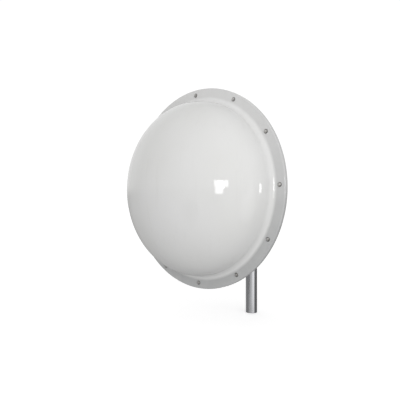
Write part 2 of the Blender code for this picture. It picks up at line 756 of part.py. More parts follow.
def build_feed(finishes, parent):
    """The waveguide, its adapter and connector, the dielectric cone and the splash plate."""
    rear = axis_level(FEED_REAR_Y)
    front = axis_level(FEED_FRONT_Y)
    bore = FEED_RADIUS - FEED_WALL
    outline = [(FEED_RADIUS, front), (FEED_RADIUS, rear), (bore, rear), (bore, front)]
    bm = turned(outline, TUBE_SIDES)
    add_object("feed_tube", bm, finishes["aluminium"], parent, DISH_CENTRE, FACING)

    adapter_rear = axis_level(ADAPTER_REAR_Y)
    outline = [
        (0, rear - GAP),
        (ADAPTER_RADIUS, rear - GAP),
        (ADAPTER_RADIUS, adapter_rear + ADAPTER_CHAMFER),
        (ADAPTER_RADIUS - ADAPTER_CHAMFER, adapter_rear),
        (0, adapter_rear),
    ]
    bm = turned(outline, TUBE_SIDES)
    item = add_object("feed_adapter", bm, finishes["aluminium"], parent, DISH_CENTRE, FACING)
    outline = [
        (-FLAT_HALF_WIDTH, FLAT_FRONT_Y),
        (FLAT_HALF_WIDTH, FLAT_FRONT_Y),
        (FLAT_HALF_WIDTH, FLAT_REAR_Y),
        (-FLAT_HALF_WIDTH, FLAT_REAR_Y),
    ]
    low = DISH_HEIGHT - ADAPTER_RADIUS - OVERCUT
    bm = prism(outline, low, DISH_HEIGHT - ADAPTER_FLAT, "Z")
    tool = add_object("feed_adapter_flat", bm, None, parent, (0, 0, 0))
    trim(item, tool, "DIFFERENCE")

    seat = -ADAPTER_FLAT - GAP
    rings = [
        ring(PORT_FLANGE_RADIUS, seat, PORT_SIDES),
        ring(PORT_FLANGE_RADIUS, seat - PORT_FLANGE, PORT_SIDES),
        ring(PORT_RADIUS, seat - PORT_FLANGE, PORT_SIDES),
        ring(PORT_RADIUS, seat - PORT_LENGTH + PORT_CHAMFER, PORT_SIDES),
        ring(PORT_TIP_RADIUS, seat - PORT_LENGTH, PORT_SIDES),
        ring(SOCKET_RADIUS, seat - PORT_LENGTH, PORT_SIDES),
        ring(SOCKET_RADIUS, seat - SOCKET_FLOOR, PORT_SIDES),
    ]
    bm = skinned(rings, closed=False)
    position = (0, CONNECTOR_Y, DISH_HEIGHT)
    add_object("feed_connector", bm, finishes["brass"], parent, position)

    cone_front = front + GAP + CONE_LENGTH
    outline = [(0, cone_front)]
    steps = 5
    for step in range(steps + 1):
        reach = 1 - step / steps
        radius = FEED_RADIUS + (CONE_RADIUS - FEED_RADIUS) * reach ** CONE_CURVE
        outline.append((radius, front + GAP + CONE_LENGTH * reach))
    outline.append((0, front + GAP))
    bm = turned(outline, TUBE_SIDES)
    add_object("feed_cone", bm, finishes["dielectric"], parent, DISH_CENTRE, FACING)

    base = cone_front + GAP
    outline = [
        (0, base + SPLASH_THICKNESS),
        (SPLASH_RADIUS - SPLASH_CHAMFER, base + SPLASH_THICKNESS),
        (SPLASH_RADIUS, base + SPLASH_THICKNESS - SPLASH_CHAMFER),
        (SPLASH_RADIUS, base),
        (0, base),
    ]
    bm = turned(outline, TUBE_SIDES)
    add_object("splash_plate", bm, finishes["aluminium"], parent, DISH_CENTRE, FACING)


def build_mast(finishes):
    """The upright tube and the cap that closes its top."""
    bore = MAST_RADIUS - MAST_WALL
    outline = [(MAST_RADIUS, MAST_TOP), (MAST_RADIUS, 0), (bore, 0), (bore, MAST_TOP)]
    bm = turned(outline, TUBE_SIDES)
    add_object("mast_tube", bm, finishes["mast"], None, (0, 0, 0))

    skirt = MAST_TOP - CAP_SKIRT
    plug = bore - GAP
    under = MAST_TOP + GAP
    top = under + CAP_THICKNESS
    outline = [
        (0, top),
        (MAST_RADIUS - CAP_CHAMFER, top),
        (MAST_RADIUS, top - CAP_CHAMFER),
        (MAST_RADIUS, under),
        (plug, under),
        (plug, skirt),
        (plug - CAP_WALL, skirt),
        (plug - CAP_WALL, under),
        (0, under),
    ]
    bm = turned(outline, TUBE_SIDES)
    add_object("mast_cap", bm, finishes["cap"], None, (0, 0, 0))


def clamp_levels():
    """Heights of the upper and the lower clamp, by name."""
    return {
        "upper": DISH_HEIGHT + CLAMP_SPACING,
        "lower": DISH_HEIGHT - CLAMP_SPACING,
    }


def build_channel(finishes, parent):
    """The bent channel on the mast, whose ears hold the pivot and locking bolts."""
    section = u_section(
        CHANNEL_HALF_WIDTH, CHANNEL_WEB_Y, CHANNEL_EAR_Y, CHANNEL_SHEET, BEND_RADIUS
    )
    low = DISH_HEIGHT - CHANNEL_HALF_HEIGHT
    high = DISH_HEIGHT + CHANNEL_HALF_HEIGHT
    bm = prism(section, low, high, "Z")
    item = add_object("mast_channel", bm, finishes["galvanised"], parent, (0, 0, 0))

    back = CHANNEL_WEB_Y + OVERCUT
    shoulder = CHANNEL_WEB_Y - CHANNEL_SHOULDER
    corners = [
        (back, low - OVERCUT, 0),
        (back, high + OVERCUT, 0),
        (shoulder, high + OVERCUT, 0),
        (shoulder - SHOULDER_EASE, high - SHOULDER_DROP, SHOULDER_CORNER),
        (CHANNEL_EAR_Y, DISH_HEIGHT + EAR_HIGH, EAR_CORNER),
        (CHANNEL_EAR_Y, DISH_HEIGHT - EAR_LOW, EAR_CORNER),
        (shoulder - SHOULDER_EASE, low + SHOULDER_DROP, SHOULDER_CORNER),
        (shoulder, low - OVERCUT, 0),
    ]
    wide = CHANNEL_HALF_WIDTH + OVERCUT
    bm = prism(rounded(corners), -wide, wide, "X")
    tool = add_object("mast_channel_side", bm, None, parent, (0, 0, 0))
    trim(item, tool, "INTERSECT")

    places = [(PIVOT.y, PIVOT.z), (PIVOT.y, PIVOT.z + SLOT_RADIUS)]
    radius = TILT_BOLT_RADIUS + BOLT_CLEARANCE
    drill(item, places, radius, -wide, wide, "X", parent)
    places = [(side * U_BOLT_X, level) for side in (-1, 1) for level in clamp_levels().values()]
    radius = U_BOLT_ROD + BOLT_CLEARANCE
    low_y = CHANNEL_WEB_Y - CHANNEL_SHEET - OVERCUT
    high_y = CHANNEL_WEB_Y + OVERCUT
    drill(item, places, radius, low_y, high_y, "Y", parent)


def build_saddle(name, level, finishes, parent):
    """A V-block that centres the mast, drilled for the legs of its U-bolt."""
    apex = -sqrt(2) * (MAST_RADIUS + GAP)
    rear = CHANNEL_WEB_Y + GAP
    mouth = SADDLE_WING_Y - apex
    section = [
        (-SADDLE_HALF_WIDTH, rear),
        (SADDLE_HALF_WIDTH, rear),
        (SADDLE_HALF_WIDTH, SADDLE_WING_Y),
        (mouth, SADDLE_WING_Y),
        (0, apex),
        (-mouth, SADDLE_WING_Y),
        (-SADDLE_HALF_WIDTH, SADDLE_WING_Y),
    ]
    bm = prism(section, -SADDLE_HALF_HEIGHT, SADDLE_HALF_HEIGHT, "Z")
    item = add_object(name, bm, finishes["galvanised"], parent, (0, 0, level))
    places = [(-U_BOLT_X, level), (U_BOLT_X, level)]
    low_y = rear - OVERCUT
    high_y = SADDLE_WING_Y + OVERCUT
    drill(item, places, U_BOLT_ROD + BOLT_CLEARANCE, low_y, high_y, "Y", parent)


def build_u_bolt(name, level, finishes, parent):
    """A round rod bent behind the mast, with two legs that reach through the channel."""
    bend = arc((0, 0), U_BOLT_X, 0, 180, 16)
    path = [(U_BOLT_X, U_BOLT_END_Y)] + bend + [(-U_BOLT_X, U_BOLT_END_Y)]
    rings = []
    for index, (x, y) in enumerate(path):
        before = path[max(index - 1, 0)]
        after = path[min(index + 1, len(path) - 1)]
        along = Vector((after[0] - before[0], after[1] - before[1], 0)).normalized()
        if 0 < index < len(path) - 1:
            angle = radians(180) * (index - 1) / (len(bend) - 1)
            along = Vector((-sin(angle), cos(angle), 0))
        side = along.cross(Vector((0, 0, 1)))
        points = []
        for step in range(BOLT_SIDES):
            turn = 2 * pi * step / BOLT_SIDES
            offset = side * cos(turn) * U_BOLT_ROD + Vector((0, 0, sin(turn) * U_BOLT_ROD))
            points.append(Vector((x, y, 0)) + offset)
        rings.append(points)
    bm = skinned(rings, closed=False)
    add_object(name, bm, finishes["fastener"], parent, (0, 0, level))


def build_clamp(name, level, finishes, parent):
    """One level of the mast clamp: saddle, U-bolt, two washers and two nuts."""
    build_saddle("saddle_" + name, level, finishes, parent)
    build_u_bolt("u_bolt_" + name, level, finishes, parent)
    washer_face = CHANNEL_WEB_Y - CHANNEL_SHEET - GAP
    nut_face = washer_face - U_BOLT_WASHER - GAP
    bore = U_BOLT_ROD + GAP
    for side_name, side in (("left", -1), ("right", 1)):
        outline = [
            (U_BOLT_WASHER_RADIUS, U_BOLT_WASHER),
            (U_BOLT_WASHER_RADIUS, 0),
            (bore, 0),
            (bore, U_BOLT_WASHER),
        ]
        bm = turned(outline, BOLT_SIDES)
        washer_name = "u_bolt_washer_%s_%s" % (name, side_name)
        position = (side * U_BOLT_X, washer_face, level)
        add_object(washer_name, bm, finishes["fastener"], parent, position, FACING)
        nut_name = "u_bolt_nut_%s_%s" % (name, side_name)
        position = (side * U_BOLT_X, nut_face, level)
        bm = nut(U_BOLT_NUT_FLATS, U_BOLT_NUT_HEIGHT, bore)
        add_object(nut_name, bm, finishes["fastener"], parent, position, FACING)


def build_tilt_fasteners(finishes, parent):
    """The pivot and locking bolts through each ear and cheek, with nuts inside the ears."""
    levels = (("pivot", PIVOT.z), ("lock", PIVOT.z + SLOT_RADIUS))
    for name, level in levels:
        for side_name, side in (("left", -1), ("right", 1)):
            head_x = side * (BRACKET_HALF_WIDTH + RUNNING_GAP)
            bm = bolt(*TILT_BOLT_SIZE)
            turn = (0, side * radians(90), 0)
            bolt_name = "%s_bolt_%s" % (name, side_name)
            position = (head_x, PIVOT.y, level)
            add_object(bolt_name, bm, finishes["fastener"], parent, position, turn)
            nut_x = side * (CHANNEL_HALF_WIDTH - CHANNEL_SHEET - GAP)
            bm = nut(TILT_NUT_FLATS, TILT_NUT_HEIGHT, TILT_BOLT_RADIUS + GAP)
            turn = (0, -side * radians(90), 0)
            nut_name = "%s_nut_%s" % (name, side_name)
            position = (nut_x, PIVOT.y, level)
            add_object(nut_name, bm, finishes["fastener"], parent, position, turn)


def build_antenna():
    """Every piece of the antenna, grouped by the joint that moves it."""
    clear_scene()
    finishes = make_materials()
    azimuth = joint_empty("azimuth_axis", Vector((0, 0, DISH_HEIGHT)))
    elevation = joint_empty("elevation_axis", PIVOT, azimuth)
    polarisation = joint_empty("polarisation_axis", DISH_CENTRE, elevation)

    build_mast(finishes)
    build_channel(finishes, azimuth)
    for name, level in clamp_levels().items():
        build_clamp(name, level, finishes, azimuth)
    build_tilt_fasteners(finishes, azimuth)
    build_tilt_bracket(finishes, elevation)
    build_bracket_bolts(finishes, elevation)
    build_back_plate(finishes, elevation)
    build_back_ring(finishes, elevation)
    build_ring_rivets(finishes, elevation)
    build_reflector(finishes, elevation)
    build_rim_gasket(finishes, elevation)
    build_radome(finishes, elevation)
    build_radome_screws(finishes, elevation)
    build_feed_collar(finishes, elevation)
    build_feed(finishes, polarisation)


build_antenna()
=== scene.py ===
"""The looks of a mast-mounted parabolic dish antenna with a bolted radome.

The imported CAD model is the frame. Pieces here are finer versions of its turned
parts, plates and fasteners, in the same places, with procedural materials.
"""
import json
from math import asin, atan, atan2, cos, degrees, pi, radians, sin, sqrt, tan

import bmesh
import bpy
from mathutils import Matrix, Vector


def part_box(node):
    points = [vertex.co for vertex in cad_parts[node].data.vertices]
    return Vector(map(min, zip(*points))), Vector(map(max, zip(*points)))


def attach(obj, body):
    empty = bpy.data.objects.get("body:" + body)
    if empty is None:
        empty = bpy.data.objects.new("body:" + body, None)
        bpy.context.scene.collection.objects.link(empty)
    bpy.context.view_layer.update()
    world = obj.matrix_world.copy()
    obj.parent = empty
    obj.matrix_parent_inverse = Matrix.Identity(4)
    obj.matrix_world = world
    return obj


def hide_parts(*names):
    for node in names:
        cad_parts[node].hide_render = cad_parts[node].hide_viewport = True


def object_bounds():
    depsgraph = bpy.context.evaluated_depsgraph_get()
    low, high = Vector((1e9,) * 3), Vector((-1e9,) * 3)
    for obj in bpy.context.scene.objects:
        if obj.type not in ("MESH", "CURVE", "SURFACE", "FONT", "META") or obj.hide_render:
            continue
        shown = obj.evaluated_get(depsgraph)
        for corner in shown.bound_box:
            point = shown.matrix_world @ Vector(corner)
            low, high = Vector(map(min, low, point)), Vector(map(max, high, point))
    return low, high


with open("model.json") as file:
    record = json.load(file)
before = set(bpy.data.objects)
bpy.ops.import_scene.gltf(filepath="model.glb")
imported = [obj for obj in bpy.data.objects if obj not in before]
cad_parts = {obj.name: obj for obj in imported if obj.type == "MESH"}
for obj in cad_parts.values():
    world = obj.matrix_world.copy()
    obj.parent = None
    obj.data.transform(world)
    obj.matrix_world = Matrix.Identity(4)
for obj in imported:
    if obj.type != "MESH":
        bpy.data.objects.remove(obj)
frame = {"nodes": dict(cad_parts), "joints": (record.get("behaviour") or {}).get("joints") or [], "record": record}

CAD_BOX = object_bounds()
JOINTS = {joint["name"]: joint for joint in frame["joints"]}
GROUPS = frame["record"]["behaviour"]["bodies"]
BODIES = {node: body for body, members in GROUPS.items() for node in members}
SLOTS = {row["node"]: row["material_slot"] for row in frame["record"]["subparts"]}

# Places read from the frame
DISH_CENTRE = Vector(JOINTS["polarisation_turn"]["pos_m"])
PIVOT = Vector(JOINTS["elevation_tilt"]["pos_m"])
DISH_HEIGHT = DISH_CENTRE.z
FACING = Matrix.Rotation(radians(90), 4, "X")
ON_DISH_AXIS = Matrix.Translation(DISH_CENTRE) @ FACING

# Radome, as in the frame
DISH_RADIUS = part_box("radome_shell")[1].x
DOME_RADIUS = 0.860 * DISH_RADIUS
DOME_HEIGHT = DISH_CENTRE.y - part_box("radome_shell")[0].y
LIP_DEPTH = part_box("radome_shell")[1].y - DISH_CENTRE.y
FILLET = 0.024
EDGE = 0.005
WALL = 0.004
SCREW_COUNT = 12
BRACKET_BOLT_COUNT = 4

# Reflector, its gasket and the ring behind it, as in the frame
SHEET = 0.002
GAP = 0.0003
HEM = 0.009
APERTURE = 0.400
FOCAL = 0.264
RIM_RADIUS = (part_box("reflector")[1].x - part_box("reflector")[0].x) / 2
RIM_LEVEL = DISH_CENTRE.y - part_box("reflector")[0].y
GASKET_WIDTH = 0.0085
RING_SHEET = 0.003
RING_RADIUS = 0.120
RING_FOOT = 0.142
RING_FLANGE = 0.088
RIVET_CIRCLE = 0.131
COLLAR_HOLE = 0.0306

# Bent plates and clamps, as in the frame
PLATE = 0.005
BEND = 0.009
TILT_RANGE = 20
SLOT_RADIUS = 0.110
SLOT_PLAY = 0.0005
MAST_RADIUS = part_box("mast_tube")[1].x
MAST_WALL = 0.0039
U_BOLT_ROD = 0.005
U_BOLT_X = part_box("u_bolt_upper")[1].x - U_BOLT_ROD
CLAMP_LEVELS = {name: sum(c.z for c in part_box("u_bolt_" + name)) / 2 for name in ("upper", "lower")}
FEED_RADIUS = 0.020
COLLAR_RADIUS = 0.030

# Holes, fasteners and rivets, as in the frame
M10_HOLE = 0.0055
M12_HOLE = 0.0065
FEED_OPENING = 0.034
RADOME_SCREW = dict(flats=0.010, head=0.0045, washer_radius=0.0072, washer=0.0006, shaft=0.003, pitch=0.001)
BRACKET_BOLT = dict(flats=0.016, head=0.0065, washer_radius=0.010, washer=0.002, shaft=0.005, pitch=0.0015)
TILT_BOLT = dict(flats=0.019, head=0.0075, washer_radius=0.0125, washer=0.0022, shaft=0.006, pitch=0.00175)
CLAMP_NUT = dict(flats=0.016, bore=0.0053)
CLAMP_WASHER = dict(outer=0.010, bore=0.0053)
TILT_NUT = dict(flats=0.019, bore=0.0063)
RIVET_COUNT = 6
RIVET_RADIUS = 0.0025
RIVET_EDGE = 0.0002
RIVET_TAIL = 0.002
RIVET_HEAD = 0.0055
RIVET_CROWN = 0.0028

# Small pieces that the frame doesn't have
SCREW_SEAL = dict(outer=0.0088, bore=0.0033, thickness=0.0008)
RIM_WASHER = dict(outer=0.0062, bore=0.0032, thickness=0.001)
RIM_NUT = dict(flats=0.010, height=0.005, bore=0.0031)
TICK_STEP = 5
TICK_START = SLOT_RADIUS + 0.0085
LONG_TICK = 0.0042
SHORT_TICK = 0.0026
TICK_HALF_WIDTH = 0.0003
TICK_DEPTH = 0.00008

# Camera
VIEW_AZIMUTH = 41.6
VIEW_DISTANCE = 4.0 * DISH_RADIUS
VIEW_RIGHT = 0.028 * DISH_RADIUS
VIEW_DOWN = 0.112 * DISH_RADIUS
LENS = 35.7

# Studio
UPPER_SKY = 0.56
LOWER_SKY = 0.26
HORIZON = (-0.03, 0.06)
GLOW = 0.52
GLOW_FROM = (37, 10)

# Patches of sky: azimuth, elevation and radius in degrees, and a factor on the light there
CARDS = (
    (150, -17, 18, 0.0),
    (-14, -17, 11, 0.05),
    (14, -17, 16, 0.75),
    (78, -18, 22, 1.9),
    (-125, 5, 55, 1.6),
    (0, 80, 75, 0.92),
)

# Lights: name, azimuth, elevation, width, height, power, and whether only gloss shows them
LIGHTS = (
    ("window_upper", 24.0, 4.9, 1.05, 0.36, 9.0, False),
    ("window_lower", 20.5, -1.7, 0.58, 0.36, 5.0, False),
    ("side_box", 111.0, 0.0, 0.42, 0.50, 5.4, False),
    ("window_core", 22.5, 3.4, 0.50, 0.38, 10.0, True),
    ("side_core", 111.0, 0.0, 0.30, 0.40, 3.0, True),
    ("faint_box", 84.0, 2.0, 0.14, 0.55, 0.5, False),
)
LIGHT_DISTANCE = 3.0
LIGHT_TARGET = (0.62, 0.4)
CARD_CORE = 0.6
FLOOR_REACH = 36
FLOOR_GLOW = 0.48
BACKDROP_RADIUS = 40
BACKDROP_GLOW = 1.05

# Facets, and the proportions of fasteners
DISH_SIDES = 240
PLATE_SIDES = 144
TUBE_SIDES = 96
HOLE_SIDES = 40
BOLT_SIDES = 36
ROD_SIDES = 24
HEX_FACE = 0.95
THREAD_DEPTH = 0.55
THREAD_STEPS = 4
KNURL = 0.95
SOFT_EDGE = 0.3
PLAIN_SHANK = 0.25
HEAD_FOOT = 0.05

# The hollow in a bolt's head, as shares of its half width and height: rim, floor and depth
HEAD_HOLLOW = (0.72, 0.68, 0.04)

# The chamfer of a nut's bore, as shares of its flats: width and depth
NUT_MOUTH = (0.08, 0.06)

# Mesh tools
WELD = 0.000002
MARGIN = 0.010
CHAMFER_ANGLE = 32


def add_object(name, data):
    """A new object in the scene."""
    item = bpy.data.objects.new(name, data)
    bpy.context.scene.collection.objects.link(item)
    return item


def make_camera():
    """A level camera that looks at the dish from the front right."""
    turn = radians(VIEW_AZIMUTH)
    forward = Vector((-sin(turn), cos(turn), 0))
    right = Vector((cos(turn), sin(turn), 0))
    data = bpy.data.cameras.new("camera")
    data.lens = LENS
    data.sensor_width = 36
    data.clip_start = 0.05
    data.clip_end = 60
    camera = add_object("camera", data)
    place = DISH_CENTRE - forward * VIEW_DISTANCE + right * VIEW_RIGHT
    camera.location = place - Vector((0, 0, VIEW_DOWN))
    camera.rotation_mode = "QUATERNION"
    camera.rotation_quaternion = forward.to_track_quat("-Z", "Y")
    bpy.context.scene.camera = camera


make_camera()


# ---- materials


class Nodes:
    """A short way to build the nodes of a material or of another owner."""

    def __init__(self, name, owner=None):
        self.owner = owner or bpy.data.materials.new(name)
        self.owner.use_nodes = True
        self.tree = self.owner.node_tree

    def fill(self, target, value):
        """Link an input to a socket, or give it a value."""
        if isinstance(value, bpy.types.NodeSocket):
            self.tree.links.new(value, target)
        else:
            target.default_value = value

    def node(self, kind, inputs=None, **settings):
        """Add a node, set its properties, and fill its inputs."""
        made = self.tree.nodes.new(kind)
        for key, value in settings.items():
            setattr(made, key, value)
        for key, value in (inputs or {}).items():
            self.fill(made.inputs[key], value)
        return made

    def place(self, scale=(1, 1, 1)):
        """Object coordinates in metres, stretched by a scale."""
        coordinates = self.node("ShaderNodeTexCoord")
        mapping = self.node("ShaderNodeMapping", {"Vector": coordinates.outputs["Object"]})
        mapping.inputs["Scale"].default_value = scale
        return mapping.outputs["Vector"]

    def noise(self, vector, scale, detail=3.0, roughness=0.5):
        return self.node(
            "ShaderNodeTexNoise",
            {"Vector": vector, "Scale": scale, "Detail": detail, "Roughness": roughness},
        ).outputs["Fac"]

    def span(self, value, low, high, to_low=0.0, to_high=1.0, **settings):
        """Map a value from one range to another, clamped."""
        return self.node(
            "ShaderNodeMapRange",
            {"Value": value, "From Min": low, "From Max": high, "To Min": to_low, "To Max": to_high},
            **settings,
        ).outputs["Result"]

    def math(self, operation, a, b=0.0):
        return self.node("ShaderNodeMath", {0: a, 1: b}, operation=operation).outputs[0]

    def mix(self, factor, a, b):
        """Mix two colours."""
        made = self.node("ShaderNodeMix", {0: factor, 6: a, 7: b}, data_type="RGBA")
        return made.outputs[2]

    def bump(self, height, strength, distance, normal=None):
        inputs = {"Height": height, "Strength": strength, "Distance": distance}
        if normal is not None:
            inputs["Normal"] = normal
        return self.node("ShaderNodeBump", inputs).outputs["Normal"]

    def finish(self, **inputs):
        """Fill the material's shader, by input names with underscores for spaces."""
        shader = self.tree.nodes["Principled BSDF"]
        for key, value in inputs.items():
            self.fill(shader.inputs[key.replace("_", " ")], value)
        return self.owner


def grey(value, tint=(1, 1, 1)):
    return (value * tint[0], value * tint[1], value * tint[2], 1)


def dish_radius_of(n, coordinates):
    """The distance from the dish axis, from object coordinates."""
    shift = n.node("ShaderNodeVectorMath", {0: coordinates, 1: DISH_CENTRE}, operation="SUBTRACT")
    parts = n.node("ShaderNodeSeparateXYZ", {0: shift.outputs[0]})
    across = n.math("MULTIPLY", parts.outputs["X"], parts.outputs["X"])
    up = n.math("MULTIPLY", parts.outputs["Z"], parts.outputs["Z"])
    return n.math("SQRT", n.math("ADD", across, up))


def radome_material():
    """Gloss white moulded shell, faintly wavy, with rain streaks and dust; its flange is greyer, and darker
    towards the bottom as painted shade under the dome.
    """
    n = Nodes("radome_white_gloss")
    place = n.place()
    broad = n.noise(place, 3.0, 2.0)
    colour = n.mix(n.span(broad, 0.35, 0.65), grey(0.79, (1, 1, 0.985)), grey(0.815, (1, 1, 0.995)))
    radius = dish_radius_of(n, place)
    flange = n.span(radius, DOME_RADIUS + 0.6 * FILLET, DOME_RADIUS + 1.1 * FILLET)
    height = n.node("ShaderNodeSeparateXYZ", {0: place}).outputs["Z"]
    top = DISH_HEIGHT + DISH_RADIUS
    # Painted shade: the flange's colour darkens towards the bottom, where the dome shades it, in noisy patches
    painted_shade_low_down = n.span(height, top, DISH_HEIGHT - 0.5 * DISH_RADIUS)
    patchy_painted_shade = n.math("MULTIPLY", n.span(n.noise(place, 24.0, 4.0, 0.6), 0.3, 0.7, 0.82, 1.0), painted_shade_low_down)
    flange_grey_and_painted_shade = n.mix(patchy_painted_shade, grey(0.73, (1, 0.997, 0.99)), grey(0.505, (0.99, 1, 1)))
    colour = n.mix(flange, colour, flange_grey_and_painted_shade)
    streaks = n.noise(n.place((38, 38, 2.2)), 1.0, 4.0, 0.6)
    grime = n.span(streaks, 0.56, 0.80, 0.0, 0.10)
    colour = n.mix(grime, colour, grey(0.55, (1, 0.98, 0.93)))
    dust = n.span(n.noise(place, 420.0, 2.0), 0.66, 0.76, 0.0, 0.16)
    colour = n.mix(dust, colour, grey(0.50, (1, 0.97, 0.90)))
    rough = n.math("ADD", n.span(broad, 0.3, 0.7, 0.045, 0.08), n.math("MULTIPLY", grime, 0.4))
    peel = n.noise(place, 170.0, 2.0)
    wave = n.noise(place, 9.0, 1.0)
    normal = n.bump(wave, 0.30, 0.0012)
    normal = n.bump(peel, 0.05, 0.0006, normal)
    return n.finish(Base_Color=colour, Roughness=rough, Normal=normal, IOR=1.5)


def stainless_material():
    """Satin stainless with fine turning marks and slight staining."""
    n = Nodes("stainless_satin")
    place = n.place()
    stain = n.noise(place, 60.0, 4.0, 0.6)
    colour = n.mix(n.span(stain, 0.40, 0.70), grey(0.62, (1, 0.99, 0.97)), grey(0.44, (1, 0.97, 0.92)))
    fine = n.noise(place, 900.0, 2.0)
    rough = n.span(stain, 0.3, 0.7, 0.22, 0.38)
    normal = n.bump(fine, 0.12, 0.0002)
    return n.finish(Base_Color=colour, Metallic=1.0, Roughness=rough, Normal=normal)


def galvanised_material():
    """Hot-dip galvanised plate: crystals of different greys, dull patches and fine pits."""
    n = Nodes("galvanised_spangle")
    place = n.place()
    bend = n.node(
        "ShaderNodeTexNoise", {"Vector": place, "Scale": 45.0, "Detail": 2.0}
    ).outputs["Color"]
    warped = n.node(
        "ShaderNodeMixRGB", {"Fac": 0.012, "Color1": place, "Color2": bend}
    ).outputs["Color"]
    cells = n.node("ShaderNodeTexVoronoi", {"Vector": warped, "Scale": 125.0})
    shade = n.node("ShaderNodeSeparateColor", {"Color": cells.outputs["Color"]}).outputs[0]
    patch = n.noise(place, 7.0, 4.0, 0.6)
    colour = n.mix(shade, grey(0.43, (0.98, 1, 1.03)), grey(0.62, (0.99, 1, 1.02)))
    colour = n.mix(n.span(patch, 0.42, 0.72, 0.0, 0.45), colour, grey(0.50, (1, 1, 0.99)))
    rough = n.math("ADD", n.span(shade, 0, 1, 0.30, 0.44), n.span(patch, 0.4, 0.7, 0.0, 0.18))
    pits = n.noise(place, 520.0, 3.0)
    edges = n.span(cells.outputs["Distance"], 0.0, 0.5)
    normal = n.bump(edges, 0.06, 0.0003)
    normal = n.bump(pits, 0.10, 0.0003, normal)
    return n.finish(Base_Color=colour, Metallic=0.92, Roughness=rough, Normal=normal)


def mast_material():
    """Drawn steel tube: streaks along its length, a few dull marks and fine scratches."""
    n = Nodes("mast_steel_drawn")
    along = n.noise(n.place((160, 160, 3.0)), 1.0, 4.0, 0.6)
    patch = n.noise(n.place((14, 14, 7)), 1.0, 4.0, 0.6)
    colour = n.mix(n.span(along, 0.35, 0.68), grey(0.54, (0.99, 1, 1.03)), grey(0.66, (0.99, 1, 1.03)))
    colour = n.mix(n.span(patch, 0.50, 0.72, 0.0, 0.35), colour, grey(0.38))
    rough = n.math("ADD", n.span(along, 0.3, 0.7, 0.11, 0.20), n.span(patch, 0.5, 0.75, 0.0, 0.16))
    normal = n.bump(along, 0.05, 0.0004)
    return n.finish(Base_Color=colour, Metallic=1.0, Roughness=rough, Normal=normal)


def spun_material():
    """Spun sheet aluminium: fine rings about the dish axis, with broad dull bands."""
    n = Nodes("spun_aluminium_rings")
    coordinates = n.node("ShaderNodeTexCoord").outputs["Object"]
    radius = dish_radius_of(n, coordinates)
    ring = n.node("ShaderNodeCombineXYZ", {"X": radius})
    fine = n.noise(ring.outputs[0], 900.0, 3.0, 0.7)
    coarse = n.noise(ring.outputs[0], 70.0, 2.0, 0.5)
    patch = n.noise(coordinates, 6.0, 4.0, 0.6)
    colour = n.mix(n.span(coarse, 0.3, 0.7), grey(0.66, (1, 1, 1.01)), grey(0.78, (1, 1, 1.01)))
    colour = n.mix(n.span(patch, 0.50, 0.75, 0.0, 0.30), colour, grey(0.52, (1, 0.99, 0.97)))
    rough = n.math("ADD", n.span(fine, 0.3, 0.7, 0.28, 0.40), n.span(patch, 0.5, 0.8, 0.0, 0.15))
    normal = n.bump(fine, 0.22, 0.0002)
    return n.finish(Base_Color=colour, Metallic=0.95, Roughness=rough, Normal=normal)


def machined_material():
    """Turned aluminium with fine tool marks."""
    n = Nodes("machined_aluminium")
    place = n.place()
    marks = n.noise(n.place((40, 1400, 40)), 1.0, 2.0)
    patch = n.noise(place, 30.0, 3.0)
    colour = n.mix(n.span(patch, 0.35, 0.7), grey(0.74), grey(0.60, (1, 1, 0.98)))
    rough = n.span(marks, 0.3, 0.7, 0.24, 0.36)
    normal = n.bump(marks, 0.10, 0.0002)
    return n.finish(Base_Color=colour, Metallic=1.0, Roughness=rough, Normal=normal)


def plating_material():
    """Nickel-plated brass, worn to yellow in places."""
    n = Nodes("plated_brass")
    place = n.place()
    wear = n.noise(place, 140.0, 4.0, 0.6)
    colour = n.mix(n.span(wear, 0.45, 0.62), grey(0.66, (1, 0.98, 0.92)), (0.62, 0.47, 0.22, 1))
    rough = n.span(wear, 0.3, 0.7, 0.18, 0.34)
    normal = n.bump(n.noise(place, 1200.0, 2.0), 0.08, 0.0001)
    return n.finish(Base_Color=colour, Metallic=1.0, Roughness=rough, Normal=normal)


def rubber_material():
    """Matt black rubber with a dusty bloom."""
    n = Nodes("rubber_matt")
    place = n.place()
    bloom = n.noise(place, 35.0, 4.0, 0.6)
    colour = n.mix(n.span(bloom, 0.35, 0.75), grey(0.018), grey(0.055, (1, 0.98, 0.95)))
    rough = n.span(bloom, 0.3, 0.7, 0.62, 0.85)
    normal = n.bump(n.noise(place, 800.0, 2.0), 0.15, 0.0003)
    return n.finish(Base_Color=colour, Roughness=rough, Normal=normal)


def cap_material():
    """Moulded black plastic with a fine texture and pale scuffs."""
    n = Nodes("cap_black_plastic")
    place = n.place()
    scuff = n.noise(n.place((90, 90, 25)), 1.0, 5.0, 0.7)
    colour = n.mix(n.span(scuff, 0.55, 0.75), grey(0.028), grey(0.11, (1, 1, 0.98)))
    rough = n.span(scuff, 0.3, 0.7, 0.42, 0.62)
    normal = n.bump(n.noise(place, 1500.0, 2.0), 0.2, 0.0002)
    return n.finish(Base_Color=colour, Roughness=rough, Normal=normal)


def dielectric_material():
    """Off-white machined plastic of the feed's cone."""
    n = Nodes("feed_dielectric_white")
    place = n.place()
    tone = n.noise(place, 40.0, 3.0)
    colour = n.mix(n.span(tone, 0.3, 0.7), (0.80, 0.78, 0.71, 1), (0.86, 0.85, 0.80, 1))
    rough = n.span(tone, 0.3, 0.7, 0.32, 0.45)
    normal = n.bump(n.noise(n.place((30, 1500, 30)), 1.0, 2.0), 0.12, 0.0002)
    return n.finish(Base_Color=colour, Roughness=rough, Normal=normal)


MATERIALS = {
    "radome_white": radome_material(),
    "spun_aluminium": spun_material(),
    "gasket_rubber": rubber_material(),
    "galvanised_steel": galvanised_material(),
    "mast_steel": mast_material(),
    "stainless_steel": stainless_material(),
    "feed_aluminium": machined_material(),
    "feed_dielectric": dielectric_material(),
    "connector_plating": plating_material(),
    "cap_plastic": cap_material(),
}


